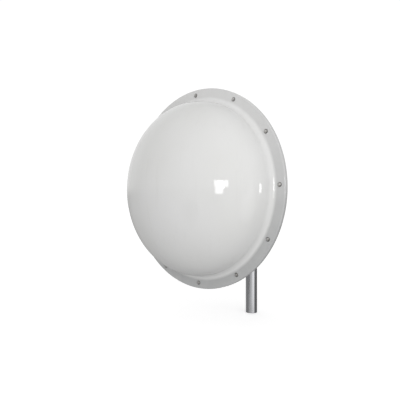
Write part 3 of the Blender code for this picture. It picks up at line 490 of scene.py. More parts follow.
def dress_frame():
    """Give every CAD node its slot's detailed material."""
    for name, item in frame["nodes"].items():
        item.data.materials.clear()
        item.data.materials.append(MATERIALS[SLOTS[name]])


dress_frame()


# ---- mesh tools


def arc(centre, radius, start, end, steps):
    """Points on an arc, angles in degrees."""
    points = []
    for step in range(steps + 1):
        angle = radians(start + (end - start) * step / steps)
        points.append((centre[0] + radius * cos(angle), centre[1] + radius * sin(angle)))
    return points


def circle(centre, radius, sides):
    """The corners of a circle, each once."""
    return arc(centre, radius, 0, 360, sides)[:-1]


def rounded(corners, steps=5):
    """Round the corners of an outline given as (u, v, corner radius)."""
    outline = []
    for index, (u, v, radius) in enumerate(corners):
        if radius == 0:
            outline.append((u, v))
            continue
        corner = Vector((u, v))
        before = (Vector(corners[index - 1][:2]) - corner).normalized()
        after = (Vector(corners[(index + 1) % len(corners)][:2]) - corner).normalized()
        half = before.angle(after) / 2
        centre = corner + (before + after).normalized() * radius / sin(half)
        first = corner + before * radius / tan(half) - centre
        last = corner + after * radius / tan(half) - centre
        start = degrees(atan2(first.y, first.x))
        turn = (degrees(atan2(last.y, last.x)) - start + 180) % 360 - 180
        outline += arc(centre, radius, start, start + turn, steps)
    return outline


def circle_ring(radius, height, sides):
    """A ring of points round +Z."""
    points = []
    for step in range(sides):
        angle = 2 * pi * step / sides
        points.append(Vector((radius * cos(angle), radius * sin(angle), height)))
    return points


def circle_rings(outline, sides):
    """Rings round +Z, from an outline of (radius, height)."""
    return [circle_ring(radius, height, sides) for radius, height in outline]


def hex_ring(flat, height, rise):
    """A hexagon ring, level or with corners that fall (rise 1) or climb (rise -1) as chamfered."""
    points = []
    for step in range(BOLT_SIDES):
        angle = 2 * pi * step / BOLT_SIDES
        reach = flat / cos((angle % radians(60)) - radians(30))
        drop = (reach - HEX_FACE * flat) * tan(radians(30)) * rise
        points.append(Vector((reach * cos(angle), reach * sin(angle), height - drop)))
    return points


def thread_ring(radius, height, pitch, sides):
    """One ring of a helical thread, cut inwards from its outer radius."""
    points = []
    for step in range(sides):
        angle = 2 * pi * step / sides
        phase = (height / pitch - step / sides) % 1
        reach = radius - THREAD_DEPTH * pitch * abs(2 * phase - 1)
        points.append(Vector((reach * cos(angle), reach * sin(angle), height)))
    return points


def threaded(radius, low, high, pitch, sides):
    """Rings of a thread between two heights, with a chamfered lower end."""
    rings = [circle_ring(radius - THREAD_DEPTH * pitch, low, sides)]
    count = int((high - low) / pitch * THREAD_STEPS)
    for step in range(1, count):
        rings.append(thread_ring(radius, low + (high - low) * step / count, pitch, sides))
    return rings


def knurled_ring(radius, height, sides):
    """A ring with fine ribs."""
    points = circle_ring(radius, height, sides)
    for index, point in enumerate(points):
        if index % 2:
            point.xy *= KNURL
    return points


def skin(bm, rings, closed=False, caps=True):
    """Join a stack of rings with quads, closed on itself or with end caps."""
    loops = [[bm.verts.new(point) for point in points] for points in rings]
    pairs = list(zip(loops, loops[1:]))
    if closed:
        pairs.append((loops[-1], loops[0]))
    for low, high in pairs:
        for this in range(len(low)):
            following = (this + 1) % len(low)
            bm.faces.new((low[this], low[following], high[following], high[this]))
    if caps and not closed:
        bm.faces.new(list(reversed(loops[0])))
        bm.faces.new(loops[-1])


def skinned(rings, closed=False, caps=True):
    """A new bmesh that skins a stack of rings."""
    bm = bmesh.new()
    skin(bm, rings, closed, caps)
    return bm


def turned(outline, sides):
    """Turn an outline of (radius, height) round +Z. It closes on itself or ends on the axis."""
    return skinned(circle_rings(outline, sides), closed=outline[0][0] > 0, caps=False)


def prism(outline, low, high, axis):
    """Extrude an outline along X, Y or Z. The outline holds the other two coordinates."""
    order = {"X": (2, 0, 1), "Y": (0, 2, 1), "Z": (0, 1, 2)}[axis]
    rings = []
    for level in (low, high):
        rings.append([Vector([(u, v, level)[index] for index in order]) for u, v in outline])
    return skinned(rings)


def clean_mesh(name, bm):
    """A mesh from a bmesh, welded and with its faces pointing out."""
    bmesh.ops.remove_doubles(bm, verts=bm.verts, dist=WELD)
    bmesh.ops.recalc_face_normals(bm, faces=bm.faces)
    mesh = bpy.data.meshes.new(name)
    bm.to_mesh(mesh)
    bm.free()
    return mesh


def carved(bm, cuts, chamfer=0.0):
    """Cut or trim a body with others, chamfer its sharp edges, and give the result."""
    scratch = []

    def scratch_object(shape):
        item = add_object("scratch", clean_mesh("scratch", shape))
        scratch.append(item)
        return item

    base = scratch_object(bm)
    for operation, cutter in cuts:
        change = base.modifiers.new("cut", "BOOLEAN")
        change.operation = operation
        change.solver = "EXACT"
        change.object = scratch_object(cutter)
    if chamfer:
        edge = base.modifiers.new("chamfer", "BEVEL")
        edge.width = chamfer
        edge.segments = 1
        edge.limit_method = "ANGLE"
        edge.angle_limit = radians(CHAMFER_ANGLE)
    view = bpy.context.evaluated_depsgraph_get()
    result = bmesh.new()
    result.from_mesh(base.evaluated_get(view).to_mesh())
    for item in scratch:
        mesh = item.data
        bpy.data.objects.remove(item)
        bpy.data.meshes.remove(mesh)
    return result


def piece(name, bm, body, slot, matrix=None, smooth=40, stands_for=()):
    """Finish a bmesh as a piece that rides on a body and takes a slot's material."""
    mesh = clean_mesh(name, bm)
    if matrix is not None:
        mesh.transform(matrix)
    mesh.shade_smooth()
    mesh.set_sharp_from_angle(angle=radians(smooth))
    mesh.materials.append(MATERIALS[slot])
    item = add_object(name, mesh)
    if stands_for:
        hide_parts(*stands_for)
    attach(item, body)


def stand_in(node, bm, matrix=None, smooth=40):
    """A finer piece in a CAD node's place, on its body and with its slot."""
    piece(node + "_detail", bm, BODIES[node], SLOTS[node], matrix, smooth, [node])


# Ways for a fastener's +Z to point, with the turn that takes it there
POINTING = {
    "front": (Vector((0, -1, 0)), Matrix.Rotation(radians(90), 4, "X")),
    "rear": (Vector((0, 1, 0)), Matrix.Rotation(radians(-90), 4, "X")),
    "right": (Vector((1, 0, 0)), Matrix.Rotation(radians(90), 4, "Y")),
    "left": (Vector((-1, 0, 0)), Matrix.Rotation(radians(-90), 4, "Y")),
}


def along(node, way):
    """The turn that points +Z a way, from the node's far end there, and the node's length."""
    direction, turn = POINTING[way]
    low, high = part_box(node)
    middle = (low + high) / 2
    length = abs((high - low).dot(direction))
    return Matrix.Translation(middle + direction * length / 2) @ turn, length


def levels(node):
    """A turned node's rear and front levels along the dish axis, and its radius."""
    low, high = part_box(node)
    return DISH_CENTRE.y - high.y, DISH_CENTRE.y - low.y, (high.x - low.x) / 2


# ---- fasteners


def bolt(flats, head, washer_radius, washer, shaft, pitch, length):
    """A hexagon bolt on +Z with its washer: its head's face at zero, its tip at -length."""
    flat = flats / 2
    seat = -head - washer
    soft = washer * SOFT_EDGE
    thread_top = seat - PLAIN_SHANK * (length + seat)
    foot = -head + HEAD_FOOT * head
    rim, floor, depth = HEAD_HOLLOW
    below = [
        (shaft, thread_top),
        (shaft, seat),
        (washer_radius - soft, seat),
        (washer_radius, seat + soft),
        (washer_radius, -head - soft),
        (washer_radius - soft, -head),
        (HEX_FACE * flat, -head),
        (HEX_FACE * flat, foot),
    ]
    face = [(HEX_FACE * flat, 0), (rim * flat, 0), (floor * flat, -depth * head)]
    rings = threaded(shaft, -length, thread_top, pitch, BOLT_SIDES)
    rings += circle_rings(below, BOLT_SIDES)
    rings += [hex_ring(flat, foot, 0), hex_ring(flat, 0, 1)]
    rings += circle_rings(face, BOLT_SIDES)
    return skinned(rings)


def nut(flats, height, bore):
    """A hexagon nut on +Z with chamfered corners: its far face at zero."""
    flat = flats / 2
    wide, deep = NUT_MOUTH
    mouth = [(HEX_FACE * flat, 0), (bore + wide * flats, 0), (bore, -deep * flats)]
    rings = circle_rings([(bore, -height), (HEX_FACE * flat, -height)], BOLT_SIDES)
    rings += [hex_ring(flat, -height, -1), hex_ring(flat, 0, 1)]
    rings += circle_rings(mouth, BOLT_SIDES)
    return skinned(rings, closed=True)


def washer_ring(outer, bore, thickness):
    """A flat washer on +Z with its outer edge rounded: its far face at zero."""
    soft = thickness * SOFT_EDGE
    corners = [(outer, 0, soft), (outer, -thickness, soft), (bore, -thickness, 0), (bore, 0, 0)]
    return turned(rounded(corners, 3), BOLT_SIDES)


def make_bolts():
    """The radome screws with their seals, the bracket bolts, and the tilt's bolts and nuts."""
    under_head = Matrix.Translation((0, 0, -RADOME_SCREW["head"] - RADOME_SCREW["washer"]))
    for index in range(SCREW_COUNT):
        node = "radome_screw_%02d" % (index + 1)
        place, length = along(node, "front")
        stand_in(node, bolt(length=length, **RADOME_SCREW), place)
        name = "screw_seal_%02d" % (index + 1)
        piece(name, washer_ring(**SCREW_SEAL), "dish", "gasket_rubber", place @ under_head)
    for index in range(BRACKET_BOLT_COUNT):
        node = "bracket_bolt_%d" % (index + 1)
        place, length = along(node, "rear")
        stand_in(node, bolt(length=length, **BRACKET_BOLT), place)
    for side, other in (("left", "right"), ("right", "left")):
        for name in ("pivot", "lock"):
            node = "%s_bolt_%s" % (name, side)
            place, length = along(node, side)
            stand_in(node, bolt(length=length, **TILT_BOLT), place)
            node = "%s_nut_%s" % (name, side)
            place, length = along(node, other)
            stand_in(node, nut(height=length, **TILT_NUT), place)


def make_rim_nuts():
    """A washer and a nut on each radome screw, behind the reflector's rim."""
    seat = RIM_LEVEL - SHEET - GAP
    washer = RIM_WASHER["thickness"]
    slack = GAP / 3
    washer_lift = Matrix.Translation((0, 0, washer))
    nut_lift = Matrix.Translation((0, 0, washer + slack + RIM_NUT["height"]))
    for index in range(SCREW_COUNT):
        low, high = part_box("radome_screw_%02d" % (index + 1))
        place = Matrix.Translation(((low.x + high.x) / 2, DISH_CENTRE.y - seat, (low.z + high.z) / 2))
        rear = place @ POINTING["rear"][1]
        name = "rim_washer_%02d" % (index + 1)
        piece(name, washer_ring(**RIM_WASHER), "dish", "stainless_steel", rear @ washer_lift)
        name = "rim_nut_%02d" % (index + 1)
        piece(name, nut(**RIM_NUT), "dish", "stainless_steel", rear @ nut_lift)


def make_rivets():
    """Round-headed rivets from the ring's foot through the reflector, with a flat tail."""
    slope = atan(RIVET_CIRCLE / (2 * FOCAL))
    level = paraboloid(RIVET_CIRCLE)
    stack = SHEET + RING_SHEET + 5 * GAP
    outline = [
        (0, -RIVET_TAIL),
        (RIVET_RADIUS - RIVET_EDGE, -RIVET_TAIL),
        (RIVET_RADIUS, RIVET_EDGE - RIVET_TAIL),
        (RIVET_RADIUS, stack),
    ]
    crown = arc((0, 0), 1, 0, 90, 8)[:-1]
    outline += [(RIVET_HEAD * u, stack + RIVET_CROWN * v) for u, v in crown]
    outline.append((0, stack + RIVET_CROWN))
    for index in range(RIVET_COUNT):
        angle = 2 * pi * (index + 0.5) / RIVET_COUNT
        place = Vector((RIVET_CIRCLE * cos(angle), -level, RIVET_CIRCLE * sin(angle)))
        backwards = Vector((sin(slope) * cos(angle), cos(slope), sin(slope) * sin(angle)))
        turn = backwards.to_track_quat("Z", "Y").to_matrix().to_4x4()
        matrix = Matrix.Translation(DISH_CENTRE + place) @ turn
        stand_in("ring_rivet_%d" % (index + 1), turned(outline, 32), matrix)


# ---- radome and reflector


def radome_outline():
    """The shell from its apex over dome, fillet and flange to the lip, and back inside."""
    rise = DOME_HEIGHT - FILLET
    foot = DOME_RADIUS + FILLET
    outline = []
    steps = 48
    for step in range(steps):
        angle = pi / 2 * step / steps
        outline.append((DOME_RADIUS * sin(angle), FILLET + rise * cos(angle)))
    outline += arc((foot, FILLET), FILLET, 180, 270, 12)
    corner = (DISH_RADIUS - EDGE, -EDGE)
    outline += arc(corner, EDGE, 90, 0, 8)
    tip = 0.0008
    outline += arc((DISH_RADIUS - tip, tip - LIP_DEPTH), tip, 0, -90, 3)
    inner = DISH_RADIUS - WALL
    outline += arc((inner + tip, tip - LIP_DEPTH), tip, -90, -180, 3)
    outline += arc(corner, EDGE - WALL, 0, 90, 3)
    outline += arc((foot, FILLET), FILLET + WALL, 270, 180, 8)
    inner_steps = 24
    for step in range(1, inner_steps):
        angle = pi / 2 * (1 - step / inner_steps)
        radius = (DOME_RADIUS - WALL) * sin(angle)
        outline.append((radius, FILLET + (rise - WALL) * cos(angle)))
    outline.append((0, DOME_HEIGHT - WALL))
    return outline


def paraboloid(radius):
    """The level of the reflector's front face at a radius."""
    return RIM_LEVEL - (APERTURE ** 2 - radius ** 2) / (4 * FOCAL)


def behind(radius, distance):
    """The point at a distance behind the reflector's front face, square to it."""
    slope = atan(radius / (2 * FOCAL))
    return (radius + distance * sin(slope), paraboloid(radius) - distance * cos(slope), 0)


def make_reflector():
    """The spun sheet: paraboloid, eased bend, flat rim and rolled hem."""
    steps = 44
    hole = 0.0225
    radii = [hole + (APERTURE - hole) * step / steps for step in range(steps + 1)]
    corners = [(radius, paraboloid(radius), 0) for radius in radii[:-1]]
    low = RIM_LEVEL - SHEET
    hem = RIM_LEVEL - HEM
    corners += [
        (APERTURE, RIM_LEVEL, 0.004),
        (RIM_RADIUS, RIM_LEVEL, 0.003),
        (RIM_RADIUS, hem, 0.0009),
        (RIM_RADIUS - SHEET, hem, 0.0009),
        (RIM_RADIUS - SHEET, low, 0.001),
        (APERTURE + SHEET, low, 0.003),
    ]
    corners += [behind(radius, SHEET) for radius in reversed(radii[:-1])]
    stand_in("reflector", turned(rounded(corners), DISH_SIDES), ON_DISH_AXIS)


def make_gasket():
    """The seal between radome and rim, with rounded edges."""
    rear, front, outer = levels("rim_gasket")
    inner = outer - GASKET_WIDTH
    soft = (front - rear) * 0.4
    corners = [(outer, front, soft), (outer, rear, soft), (inner, rear, soft), (inner, front, soft)]
    stand_in("rim_gasket", turned(rounded(corners, 4), DISH_SIDES), ON_DISH_AXIS, 60)


def make_radome():
    stand_in("radome_shell", turned(radome_outline(), DISH_SIDES), ON_DISH_AXIS, 50)


# ---- back structure


def make_back_ring():
    """The pressed drum with eased bends and a foot that follows the reflector."""
    rear = levels("back_ring")[0]
    stand_off = SHEET + 0.0005
    thick = stand_off + RING_SHEET
    bore = RING_RADIUS - RING_SHEET
    steps = 6
    foot = [RING_FOOT + (RING_RADIUS - RING_FOOT) * step / steps for step in range(steps + 1)]
    corners = [behind(radius, stand_off) for radius in foot]
    corners.append(behind(bore, stand_off))
    corners += [
        (bore, rear + RING_SHEET, 0.004),
        (RING_FLANGE, rear + RING_SHEET, 0.0006),
        (RING_FLANGE, rear, 0.0006),
        (RING_RADIUS, rear, 0.007),
        (*behind(RING_RADIUS, thick)[:2], 0.004),
    ]
    corners += [behind(radius, thick) for radius in reversed(foot[:-2])]
    bm = turned(rounded(corners), PLATE_SIDES)
    stand_in("back_ring", bm, ON_DISH_AXIS)


def drilled(places, radius, low, high, axis):
    """One body of straight pins, to cut a pattern of holes."""
    merged = bmesh.new()
    for place in places:
        pin = prism(circle(place, radius, HOLE_SIDES), low, high, axis)
        mesh = clean_mesh("pin", pin)
        merged.from_mesh(mesh)
        bpy.data.meshes.remove(mesh)
    return "DIFFERENCE", merged


def bracket_holes():
    """Centres of the bracket bolts, in the (x, z) plane."""
    places = []
    for index in range(BRACKET_BOLT_COUNT):
        low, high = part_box("bracket_bolt_%d" % (index + 1))
        places.append(((low.x + high.x) / 2, (low.z + high.z) / 2))
    return places


def make_back_plate():
    """The thick plate with a central hole and four bolt holes."""
    low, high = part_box("back_plate")
    radius = (high.x - low.x) / 2
    middle = (0, DISH_HEIGHT)
    through = (low.y - 1, high.y + 1, "Y")
    disc = prism(circle(middle, radius, PLATE_SIDES), low.y, high.y, "Y")
    opening = prism(circle(middle, COLLAR_HOLE, TUBE_SIDES), *through)
    cuts = [("DIFFERENCE", opening), drilled(bracket_holes(), M10_HOLE, *through)]
    stand_in("back_plate", carved(disc, cuts, 0.0007), smooth=30)


def u_section(half_width, web, tip):
    """The (x, y) outline of a bent plate: a web along X with two ears that reach to tip."""
    toward = 1 if tip > web else -1
    centre = (half_width - BEND, web + toward * BEND)
    base = -90 * toward
    outer = arc(centre, BEND, base, 0, 12)
    inner = arc(centre, BEND - PLATE, 0, base, 12)
    right = outer + [(half_width, tip), (half_width - PLATE, tip)] + inner
    return right + [(-x, y) for x, y in reversed(right)]


def slot_outline(half_width):
    """The curved locking slot in the (y, z) plane, about the pivot."""
    sweep = TILT_RANGE + degrees(asin(SLOT_PLAY / SLOT_RADIUS))
    centre = (PIVOT.y, PIVOT.z)
    start = 90 - sweep
    end = 90 + sweep
    first = arc(centre, SLOT_RADIUS, start, start, 1)[0]
    last = arc(centre, SLOT_RADIUS, end, end, 1)[0]
    outline = arc(centre, SLOT_RADIUS + half_width, start, end, 24)
    outline += arc(last, half_width, end, end + 180, 12)[1:-1]
    outline += arc(centre, SLOT_RADIUS - half_width, end, start, 24)
    outline += arc(first, half_width, start - 180, start, 12)[1:-1]
    return outline


def make_tilt_bracket():
    """The bent bracket with shaped cheeks, curved slots and broken edges."""
    low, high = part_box("tilt_bracket")
    half_width = (high.x - low.x) / 2
    wide = half_width + MARGIN
    web = low.y
    bm = prism(u_section(half_width, web, high.y + MARGIN), low.z, high.z, "Z")
    front = web - MARGIN
    foot = web + 0.030
    ankle = web + 0.034
    ankle_height = 0.104
    eased = 0.020
    corners = [
        (front, low.z - MARGIN, 0),
        (foot, low.z - MARGIN, 0),
        (ankle, DISH_HEIGHT - ankle_height, eased),
        (PIVOT.y + 0.021, PIVOT.z - 0.022, eased),
        (high.y, DISH_HEIGHT + 0.020, 0.015),
        (high.y, DISH_HEIGHT + 0.078, eased),
        (PIVOT.y - 0.020, DISH_HEIGHT + 0.084, eased),
        (ankle, DISH_HEIGHT + ankle_height, eased),
        (foot, high.z + MARGIN, 0),
        (front, high.z + MARGIN, 0),
    ]
    through = (front, web + 2 * MARGIN, "Y")
    cuts = [
        ("INTERSECT", prism(rounded(corners, 10), -wide, wide, "X")),
        ("DIFFERENCE", prism(slot_outline(M12_HOLE), -wide, wide, "X")),
        drilled([(PIVOT.y, PIVOT.z)], M12_HOLE, -wide, wide, "X"),
        drilled([(0, DISH_HEIGHT)], FEED_OPENING, *through),
        drilled(bracket_holes(), M10_HOLE, *through),
    ]
    stand_in("tilt_bracket", carved(bm, cuts, 0.0006), smooth=30)


def make_tilt_scale():
    """Stamped tick marks beyond each slot, with a longer one at every second step, as thin black slabs: painted
    shade of the stamped grooves.
    """
    low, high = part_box("tilt_bracket")
    count = TILT_RANGE // TICK_STEP
    for side, face in (("left", low.x), ("right", high.x)):
        bm = bmesh.new()
        start = Vector((face, PIVOT.y, PIVOT.z))
        depth = Vector((TICK_DEPTH if side == "right" else -TICK_DEPTH, 0, 0))
        for tick in range(-count, count + 1):
            angle = radians(90 + TICK_STEP * tick)
            end = TICK_START + (SHORT_TICK if tick % 2 else LONG_TICK)
            out = Vector((0, cos(angle), sin(angle)))
            beside = Vector((0, -sin(angle), cos(angle))) * TICK_HALF_WIDTH
            corners = [(TICK_START, -1), (TICK_START, 1), (end, 1), (end, -1)]
            rings = []
            for layer in (-depth, depth):
                rings.append([start + layer + out * reach + beside * way for reach, way in corners])
            skin(bm, rings)
        # The black of the ticks is painted shade of stamped grooves
        piece("tilt_scale_" + side, bm, "dish", "cap_plastic", smooth=30)


# ---- mast and clamp


def make_mast():
    """The drawn tube with broken ends, and its pressed-in cap."""
    low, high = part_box("mast_tube")
    radius = (high.x - low.x) / 2
    bore = radius - MAST_WALL
    edge = 0.0006
    corners = [(radius, high.z, edge), (radius, low.z, edge), (bore, low.z, edge), (bore, high.z, edge)]
    stand_in("mast_tube", turned(rounded(corners, 3), TUBE_SIDES))

    low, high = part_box("mast_cap")
    plug = bore - GAP
    plug_bore = plug - 0.003
    under = high.z - 0.004
    corners = [
        (0, high.z, 0),
        (radius - 0.006, high.z, 0.004),
        (radius, high.z - 0.0012, 0.0012),
        (radius, under, 0.0005),
        (plug, under, 0.0004),
        (plug, low.z, 0.0006),
        (plug_bore, low.z, 0.0006),
        (plug_bore, under, 0.001),
        (0, under, 0),
    ]
    stand_in("mast_cap", turned(rounded(corners, 5), TUBE_SIDES))


def make_channel():
    """The bent channel with eased ears and drilled holes."""
    low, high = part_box("mast_channel")
    half_width = (high.x - low.x) / 2
    wide = half_width + MARGIN
    web = high.y
    bm = prism(u_section(half_width, web, low.y - MARGIN), low.z, high.z, "Z")
    back = web + MARGIN
    shoulder = web - 0.024
    neck = shoulder - 0.002
    neck_inset = 0.006
    corners = [
        (back, low.z - MARGIN, 0),
        (back, high.z + MARGIN, 0),
        (shoulder, high.z + MARGIN, 0),
        (neck, high.z - neck_inset, 0.010),
        (low.y, DISH_HEIGHT + 0.076, 0.020),
        (low.y, DISH_HEIGHT - 0.078, 0.020),
        (neck, low.z + neck_inset, 0.010),
        (shoulder, low.z - MARGIN, 0),
    ]
    legs = [(side * U_BOLT_X, level) for side in (-1, 1) for level in CLAMP_LEVELS.values()]
    tilt_holes = [(PIVOT.y, PIVOT.z), (PIVOT.y, PIVOT.z + SLOT_RADIUS)]
    cuts = [
        ("INTERSECT", prism(rounded(corners, 10), -wide, wide, "X")),
        drilled(tilt_holes, M12_HOLE, -wide, wide, "X"),
        drilled(legs, M10_HOLE, web - 2 * MARGIN, back, "Y"),
    ]
    stand_in("mast_channel", carved(bm, cuts, 0.0006), smooth=30)


def make_saddle(name):
    """A cast V-block with eased edges, drilled for its U-bolt."""
    node = "saddle_" + name
    low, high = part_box(node)
    apex = -sqrt(2) * (MAST_RADIUS + GAP)
    mouth = high.y - apex
    corners = [
        (low.x, low.y, 0.001),
        (high.x, low.y, 0.001),
        (high.x, high.y, 0.004),
        (mouth, high.y, 0.002),
        (0, apex, 0),
        (-mouth, high.y, 0.002),
        (low.x, high.y, 0.004),
    ]
    level = CLAMP_LEVELS[name]
    legs = [(-U_BOLT_X, level), (U_BOLT_X, level)]
    cuts = [drilled(legs, M10_HOLE, low.y - MARGIN, high.y + MARGIN, "Y")]
    bm = prism(rounded(corners), low.z, high.z, "Z")
    stand_in(node, carved(bm, cuts, 0.0010), smooth=30)


def make_u_bolt(name):
    """A round rod bent behind the mast, its legs threaded where they carry nuts."""
    node = "u_bolt_" + name
    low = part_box(node)[0]
    level = CLAMP_LEVELS[name]
    thread_length = 0.030
    thread_start = low.y + thread_length
    pitch = 0.0015
    count = int(thread_length / pitch * THREAD_STEPS)
    leg = [low.y + thread_length * step / count for step in range(count + 1)]
    stations = [(U_BOLT_X, y, 90) for y in leg]
    bend_steps = 48
    for step in range(1, bend_steps):
        angle = 180 * step / bend_steps
        x = U_BOLT_X * cos(radians(angle))
        stations.append((x, U_BOLT_X * sin(radians(angle)), 90 + angle))
    stations.insert(len(leg), (U_BOLT_X, 0, 90))
    stations.append((-U_BOLT_X, 0, 270))
    stations += [(-U_BOLT_X, y, 270) for y in reversed(leg)]
    rings = []
    for index, (x, y, heading) in enumerate(stations):
        across = Vector((sin(radians(heading)), -cos(radians(heading)), 0))
        end = index in (0, len(stations) - 1)
        ring = []
        for step in range(ROD_SIDES):
            angle = 2 * pi * step / ROD_SIDES
            reach = U_BOLT_ROD
            if y < thread_start:
                phase = ((y - low.y) / pitch - step / ROD_SIDES) % 1
                reach -= THREAD_DEPTH * pitch * (1 if end else abs(2 * phase - 1))
            offset = across * cos(angle) * reach + Vector((0, 0, sin(angle) * reach))
            ring.append(Vector((x, y, level)) + offset)
        rings.append(ring)
    stand_in(node, skinned(rings), smooth=60)


def make_clamps():
    """The saddles, the U-bolts, and the washers and nuts on their legs."""
    for name in CLAMP_LEVELS:
        make_saddle(name)
        make_u_bolt(name)
        for side in ("left", "right"):
            node = "u_bolt_washer_%s_%s" % (name, side)
            place, thickness = along(node, "front")
            stand_in(node, washer_ring(thickness=thickness, **CLAMP_WASHER), place)
            node = "u_bolt_nut_%s_%s" % (name, side)
            place, height = along(node, "front")
            stand_in(node, nut(height=height, **CLAMP_NUT), place)


# ---- feed


def make_collar():
    """The flanged collar with a groove, and its knurled thumb screw."""
    rear, front, flange = levels("feed_collar")
    bore = FEED_RADIUS + 0.0005
    back = front - 0.004
    groove = rear + 0.004
    groove_radius = COLLAR_RADIUS - 0.0008
    edge = 0.0003
    corners = [
        (bore, front, 0.0006),
        (flange, front, 0.0008),
        (flange, back, 0.0008),
        (COLLAR_RADIUS, back, 0),
        (COLLAR_RADIUS, groove + 0.0025, edge),
        (groove_radius, groove + 0.0020, edge),
        (groove_radius, groove + 0.0005, edge),
        (COLLAR_RADIUS, groove, edge),
        (COLLAR_RADIUS, rear, 0.0015),
        (bore, rear, 0.0008),
    ]
    stand_in("feed_collar", turned(rounded(corners, 4), TUBE_SIDES), ON_DISH_AXIS)

    low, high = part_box("collar_screw")
    place = Matrix.Translation((0, (low.y + high.y) / 2, low.z))
    height = high.z - low.z
    head = (high.x - low.x) / 2
    knob = height - 0.009
    neck = knob - 0.004
    shaft = 0.003
    hub = 0.0045
    sides = 60
    below = [(shaft, neck), (hub, neck), (hub, knob), (head - 0.001, knob)]
    above = [(head - 0.0014, height), (hub, height), (hub - 0.0005, height - 0.0006)]
    rings = threaded(shaft, 0, neck, 0.001, sides)
    rings += circle_rings(below, sides)
    rings += [knurled_ring(head, level, sides) for level in (knob + 0.0008, height - 0.0012)]
    rings += circle_rings(above, sides)
    stand_in("collar_screw", skinned(rings), place, 25)


def make_feed():
    """The waveguide tube, the adapter, the dielectric cone and the splash plate."""
    rear, front, radius = levels("feed_tube")
    bore = radius - 0.0015
    edge = 0.0004
    corners = [(radius, front, edge), (radius, rear, edge), (bore, rear, edge), (bore, front, edge)]
    stand_in("feed_tube", turned(rounded(corners, 3), TUBE_SIDES), ON_DISH_AXIS)

    rear, front, radius = levels("feed_adapter")
    groove_radius = radius - 0.001
    recess = rear + 0.0008
    corners = [
        (0, front, 0),
        (radius, front, 0.0008),
        (radius, rear + 0.010, edge),
        (groove_radius, rear + 0.009, edge),
        (groove_radius, rear + 0.007, edge),
        (radius, rear + 0.006, edge),
        (radius, rear, 0.0022),
        (radius - 0.008, rear, edge),
        (radius - 0.009, recess, edge),
        (0, recess, 0),
    ]
    body = turned(rounded(corners, 4), TUBE_SIDES)
    body.transform(ON_DISH_AXIS)
    wide = MARGIN * 4
    near = DISH_CENTRE.y - front - MARGIN
    far = DISH_CENTRE.y - rear - 0.004
    outline = [(-wide, near), (wide, near), (wide, far), (-wide, far)]
    slab = prism(outline, DISH_HEIGHT - 0.05, DISH_HEIGHT - 0.024, "Z")
    stand_in("feed_adapter", carved(body, [("DIFFERENCE", slab)]), smooth=30)

    rear, front, radius = levels("feed_cone")
    outline = [(0, front)]
    flare = 1.4
    steps = 28
    for step in range(steps + 1):
        reach = 1 - step / steps
        across = FEED_RADIUS + (radius - FEED_RADIUS) * reach ** flare
        outline.append((across, rear + (front - rear) * reach))
    outline.append((0, rear))
    stand_in("feed_cone", turned(outline, TUBE_SIDES), ON_DISH_AXIS)

    rear, front, radius = levels("splash_plate")
    corners = [(0, front, 0), (radius, front, 0.0025), (radius, rear, 0.0006), (0, rear, 0)]
    stand_in("splash_plate", turned(rounded(corners), TUBE_SIDES), ON_DISH_AXIS)


def make_connector():
    """The coaxial port: flange, threaded barrel, insulator and centre contact."""
    low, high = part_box("feed_connector")
    place = Matrix.Translation(((low.x + high.x) / 2, (low.y + high.y) / 2, high.z))
    length = high.z - low.z
    flange = (high.x - low.x) / 2
    sides = 48
    barrel = 0.0079
    neck = barrel - 0.0008
    mouth = 0.0060
    floor = -0.0120
    edge = 0.0006
    flange_back = -0.003
    thread_start = -0.0045
    collar = [
        (flange - edge, 0),
        (flange, -edge),
        (flange, edge + flange_back),
        (flange - edge, flange_back),
        (neck, flange_back),
        (neck, thread_start),
    ]
    socket = [(mouth + 0.0004, -length), (mouth, 0.0004 - length), (mouth, floor)]
    rings = circle_rings(collar, sides)
    rings += reversed(threaded(barrel, -length, thread_start, 0.00106, sides))
    rings += circle_rings(socket, sides)
    stand_in("feed_connector", skinned(rings), place, 25)

    radius = 0.0042
    base = floor - 0.0040
    outline = [(radius, floor - 0.0001), (radius, floor - 0.0036), (radius - 0.0004, base)]
    bm = skinned(circle_rings(outline, 32))
    piece("connector_insulator", bm, "feed", "feed_dielectric", place)
    radius = 0.0016
    tip = 0.0018 - length
    outline = [(radius, base), (radius, tip + 0.0004), (radius - 0.0004, tip)]
    bm = skinned(circle_rings(outline, 24))
    piece("connector_contact", bm, "feed", "connector_plating", place)


make_radome()
make_bolts()
make_rim_nuts()
make_rivets()
make_reflector()
make_gasket()
make_back_ring()
make_back_plate()
make_tilt_bracket()
make_tilt_scale()
make_mast()
make_channel()
make_clamps()
make_collar()
make_feed()
make_connector()


# ---- stage


def staged(name, bm, material):
    """An object for the stage, which neither lights the antenna nor shows in its gloss."""
    mesh = bpy.data.meshes.new(name)
    bm.to_mesh(mesh)
    bm.free()
    mesh.materials.append(material)
    item = add_object(name, mesh)
    item.visible_diffuse = False
    item.visible_glossy = False
    return item


def make_floor():
    """A wide pale floor at the mast's foot."""
    n = Nodes("floor_pale")
    n.finish(
        Base_Color=grey(0.80), Roughness=0.9,
        Emission_Color=grey(1.0), Emission_Strength=FLOOR_GLOW,
    )
    bm = bmesh.new()
    bmesh.ops.create_grid(bm, x_segments=1, y_segments=1, size=FLOOR_REACH)
    floor = staged("floor", bm, n.owner)
    floor.location.z = CAD_BOX[0].z - 0.0005


def towards(azimuth, elevation):
    """A unit vector, from an angle to the right of the dish's front and one above level."""
    turn = radians(azimuth)
    lift = radians(elevation)
    return Vector((sin(turn) * cos(lift), -cos(turn) * cos(lift), sin(lift)))


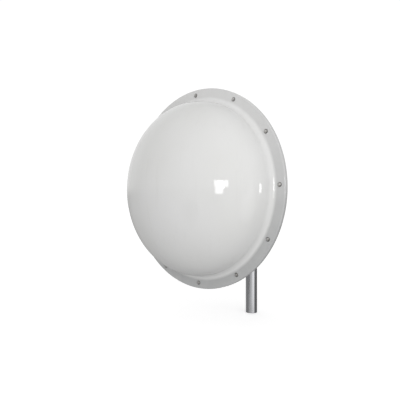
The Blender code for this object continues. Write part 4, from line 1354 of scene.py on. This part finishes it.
def make_world():
    """Soft light: darker below the horizon, a glow from the front right, and the cards."""
    world = bpy.data.worlds.new("studio")
    bpy.context.scene.world = world
    n = Nodes("studio", world)
    coordinates = n.node("ShaderNodeTexCoord").outputs["Generated"]

    def eased(value, low, high, to_low, to_high):
        return n.span(value, low, high, to_low, to_high, interpolation_type="SMOOTHSTEP")

    def nearness(azimuth, elevation):
        inputs = {0: coordinates, 1: towards(azimuth, elevation)}
        return n.node("ShaderNodeVectorMath", inputs, operation="DOT_PRODUCT").outputs["Value"]

    height = n.node("ShaderNodeSeparateXYZ", {0: coordinates}).outputs["Z"]
    sky = eased(height, *HORIZON, LOWER_SKY, UPPER_SKY)
    total = n.math("ADD", sky, eased(nearness(*GLOW_FROM), -0.1, 1.0, 0.0, GLOW))
    for azimuth, elevation, radius, factor in CARDS:
        edge = cos(radians(radius))
        core = cos(radians(CARD_CORE * radius))
        card = eased(nearness(azimuth, elevation), edge, core, 1.0, factor)
        total = n.math("MULTIPLY", total, card)
    n.fill(n.tree.nodes["Background"].inputs["Color"], total)


def make_backdrop():
    """A white sphere round the whole stage, which casts no shadow."""
    n = Nodes("backdrop_white")
    n.finish(
        Base_Color=grey(0.0), Roughness=1.0, Specular_IOR_Level=0.0,
        Emission_Color=grey(1.0), Emission_Strength=BACKDROP_GLOW,
    )
    bm = bmesh.new()
    bmesh.ops.create_uvsphere(bm, u_segments=48, v_segments=24, radius=BACKDROP_RADIUS)
    bmesh.ops.reverse_faces(bm, faces=bm.faces)
    backdrop = staged("backdrop", bm, n.owner)
    backdrop.visible_transmission = False
    backdrop.visible_shadow = False


def make_lights():
    """Rectangular soft boxes, placed by the direction in which the dish sees them."""
    out, forward = LIGHT_TARGET
    glint = ON_DISH_AXIS @ Vector((out * DISH_RADIUS, 0, forward * DISH_RADIUS))
    for name, azimuth, elevation, width, height, power, gloss_only in LIGHTS:
        data = bpy.data.lights.new(name, "AREA")
        data.shape = "RECTANGLE"
        data.size = width
        data.size_y = height
        data.energy = power
        lamp = add_object(name, data)
        lamp.visible_camera = False
        lamp.visible_diffuse = not gloss_only
        place = glint + towards(azimuth, elevation) * LIGHT_DISTANCE
        lamp.location = place
        lamp.rotation_mode = "QUATERNION"
        lamp.rotation_quaternion = (glint - place).to_track_quat("-Z", "Y")


make_floor()
make_backdrop()
make_world()
make_lights()
bpy.context.scene.view_settings.view_transform = "Standard"
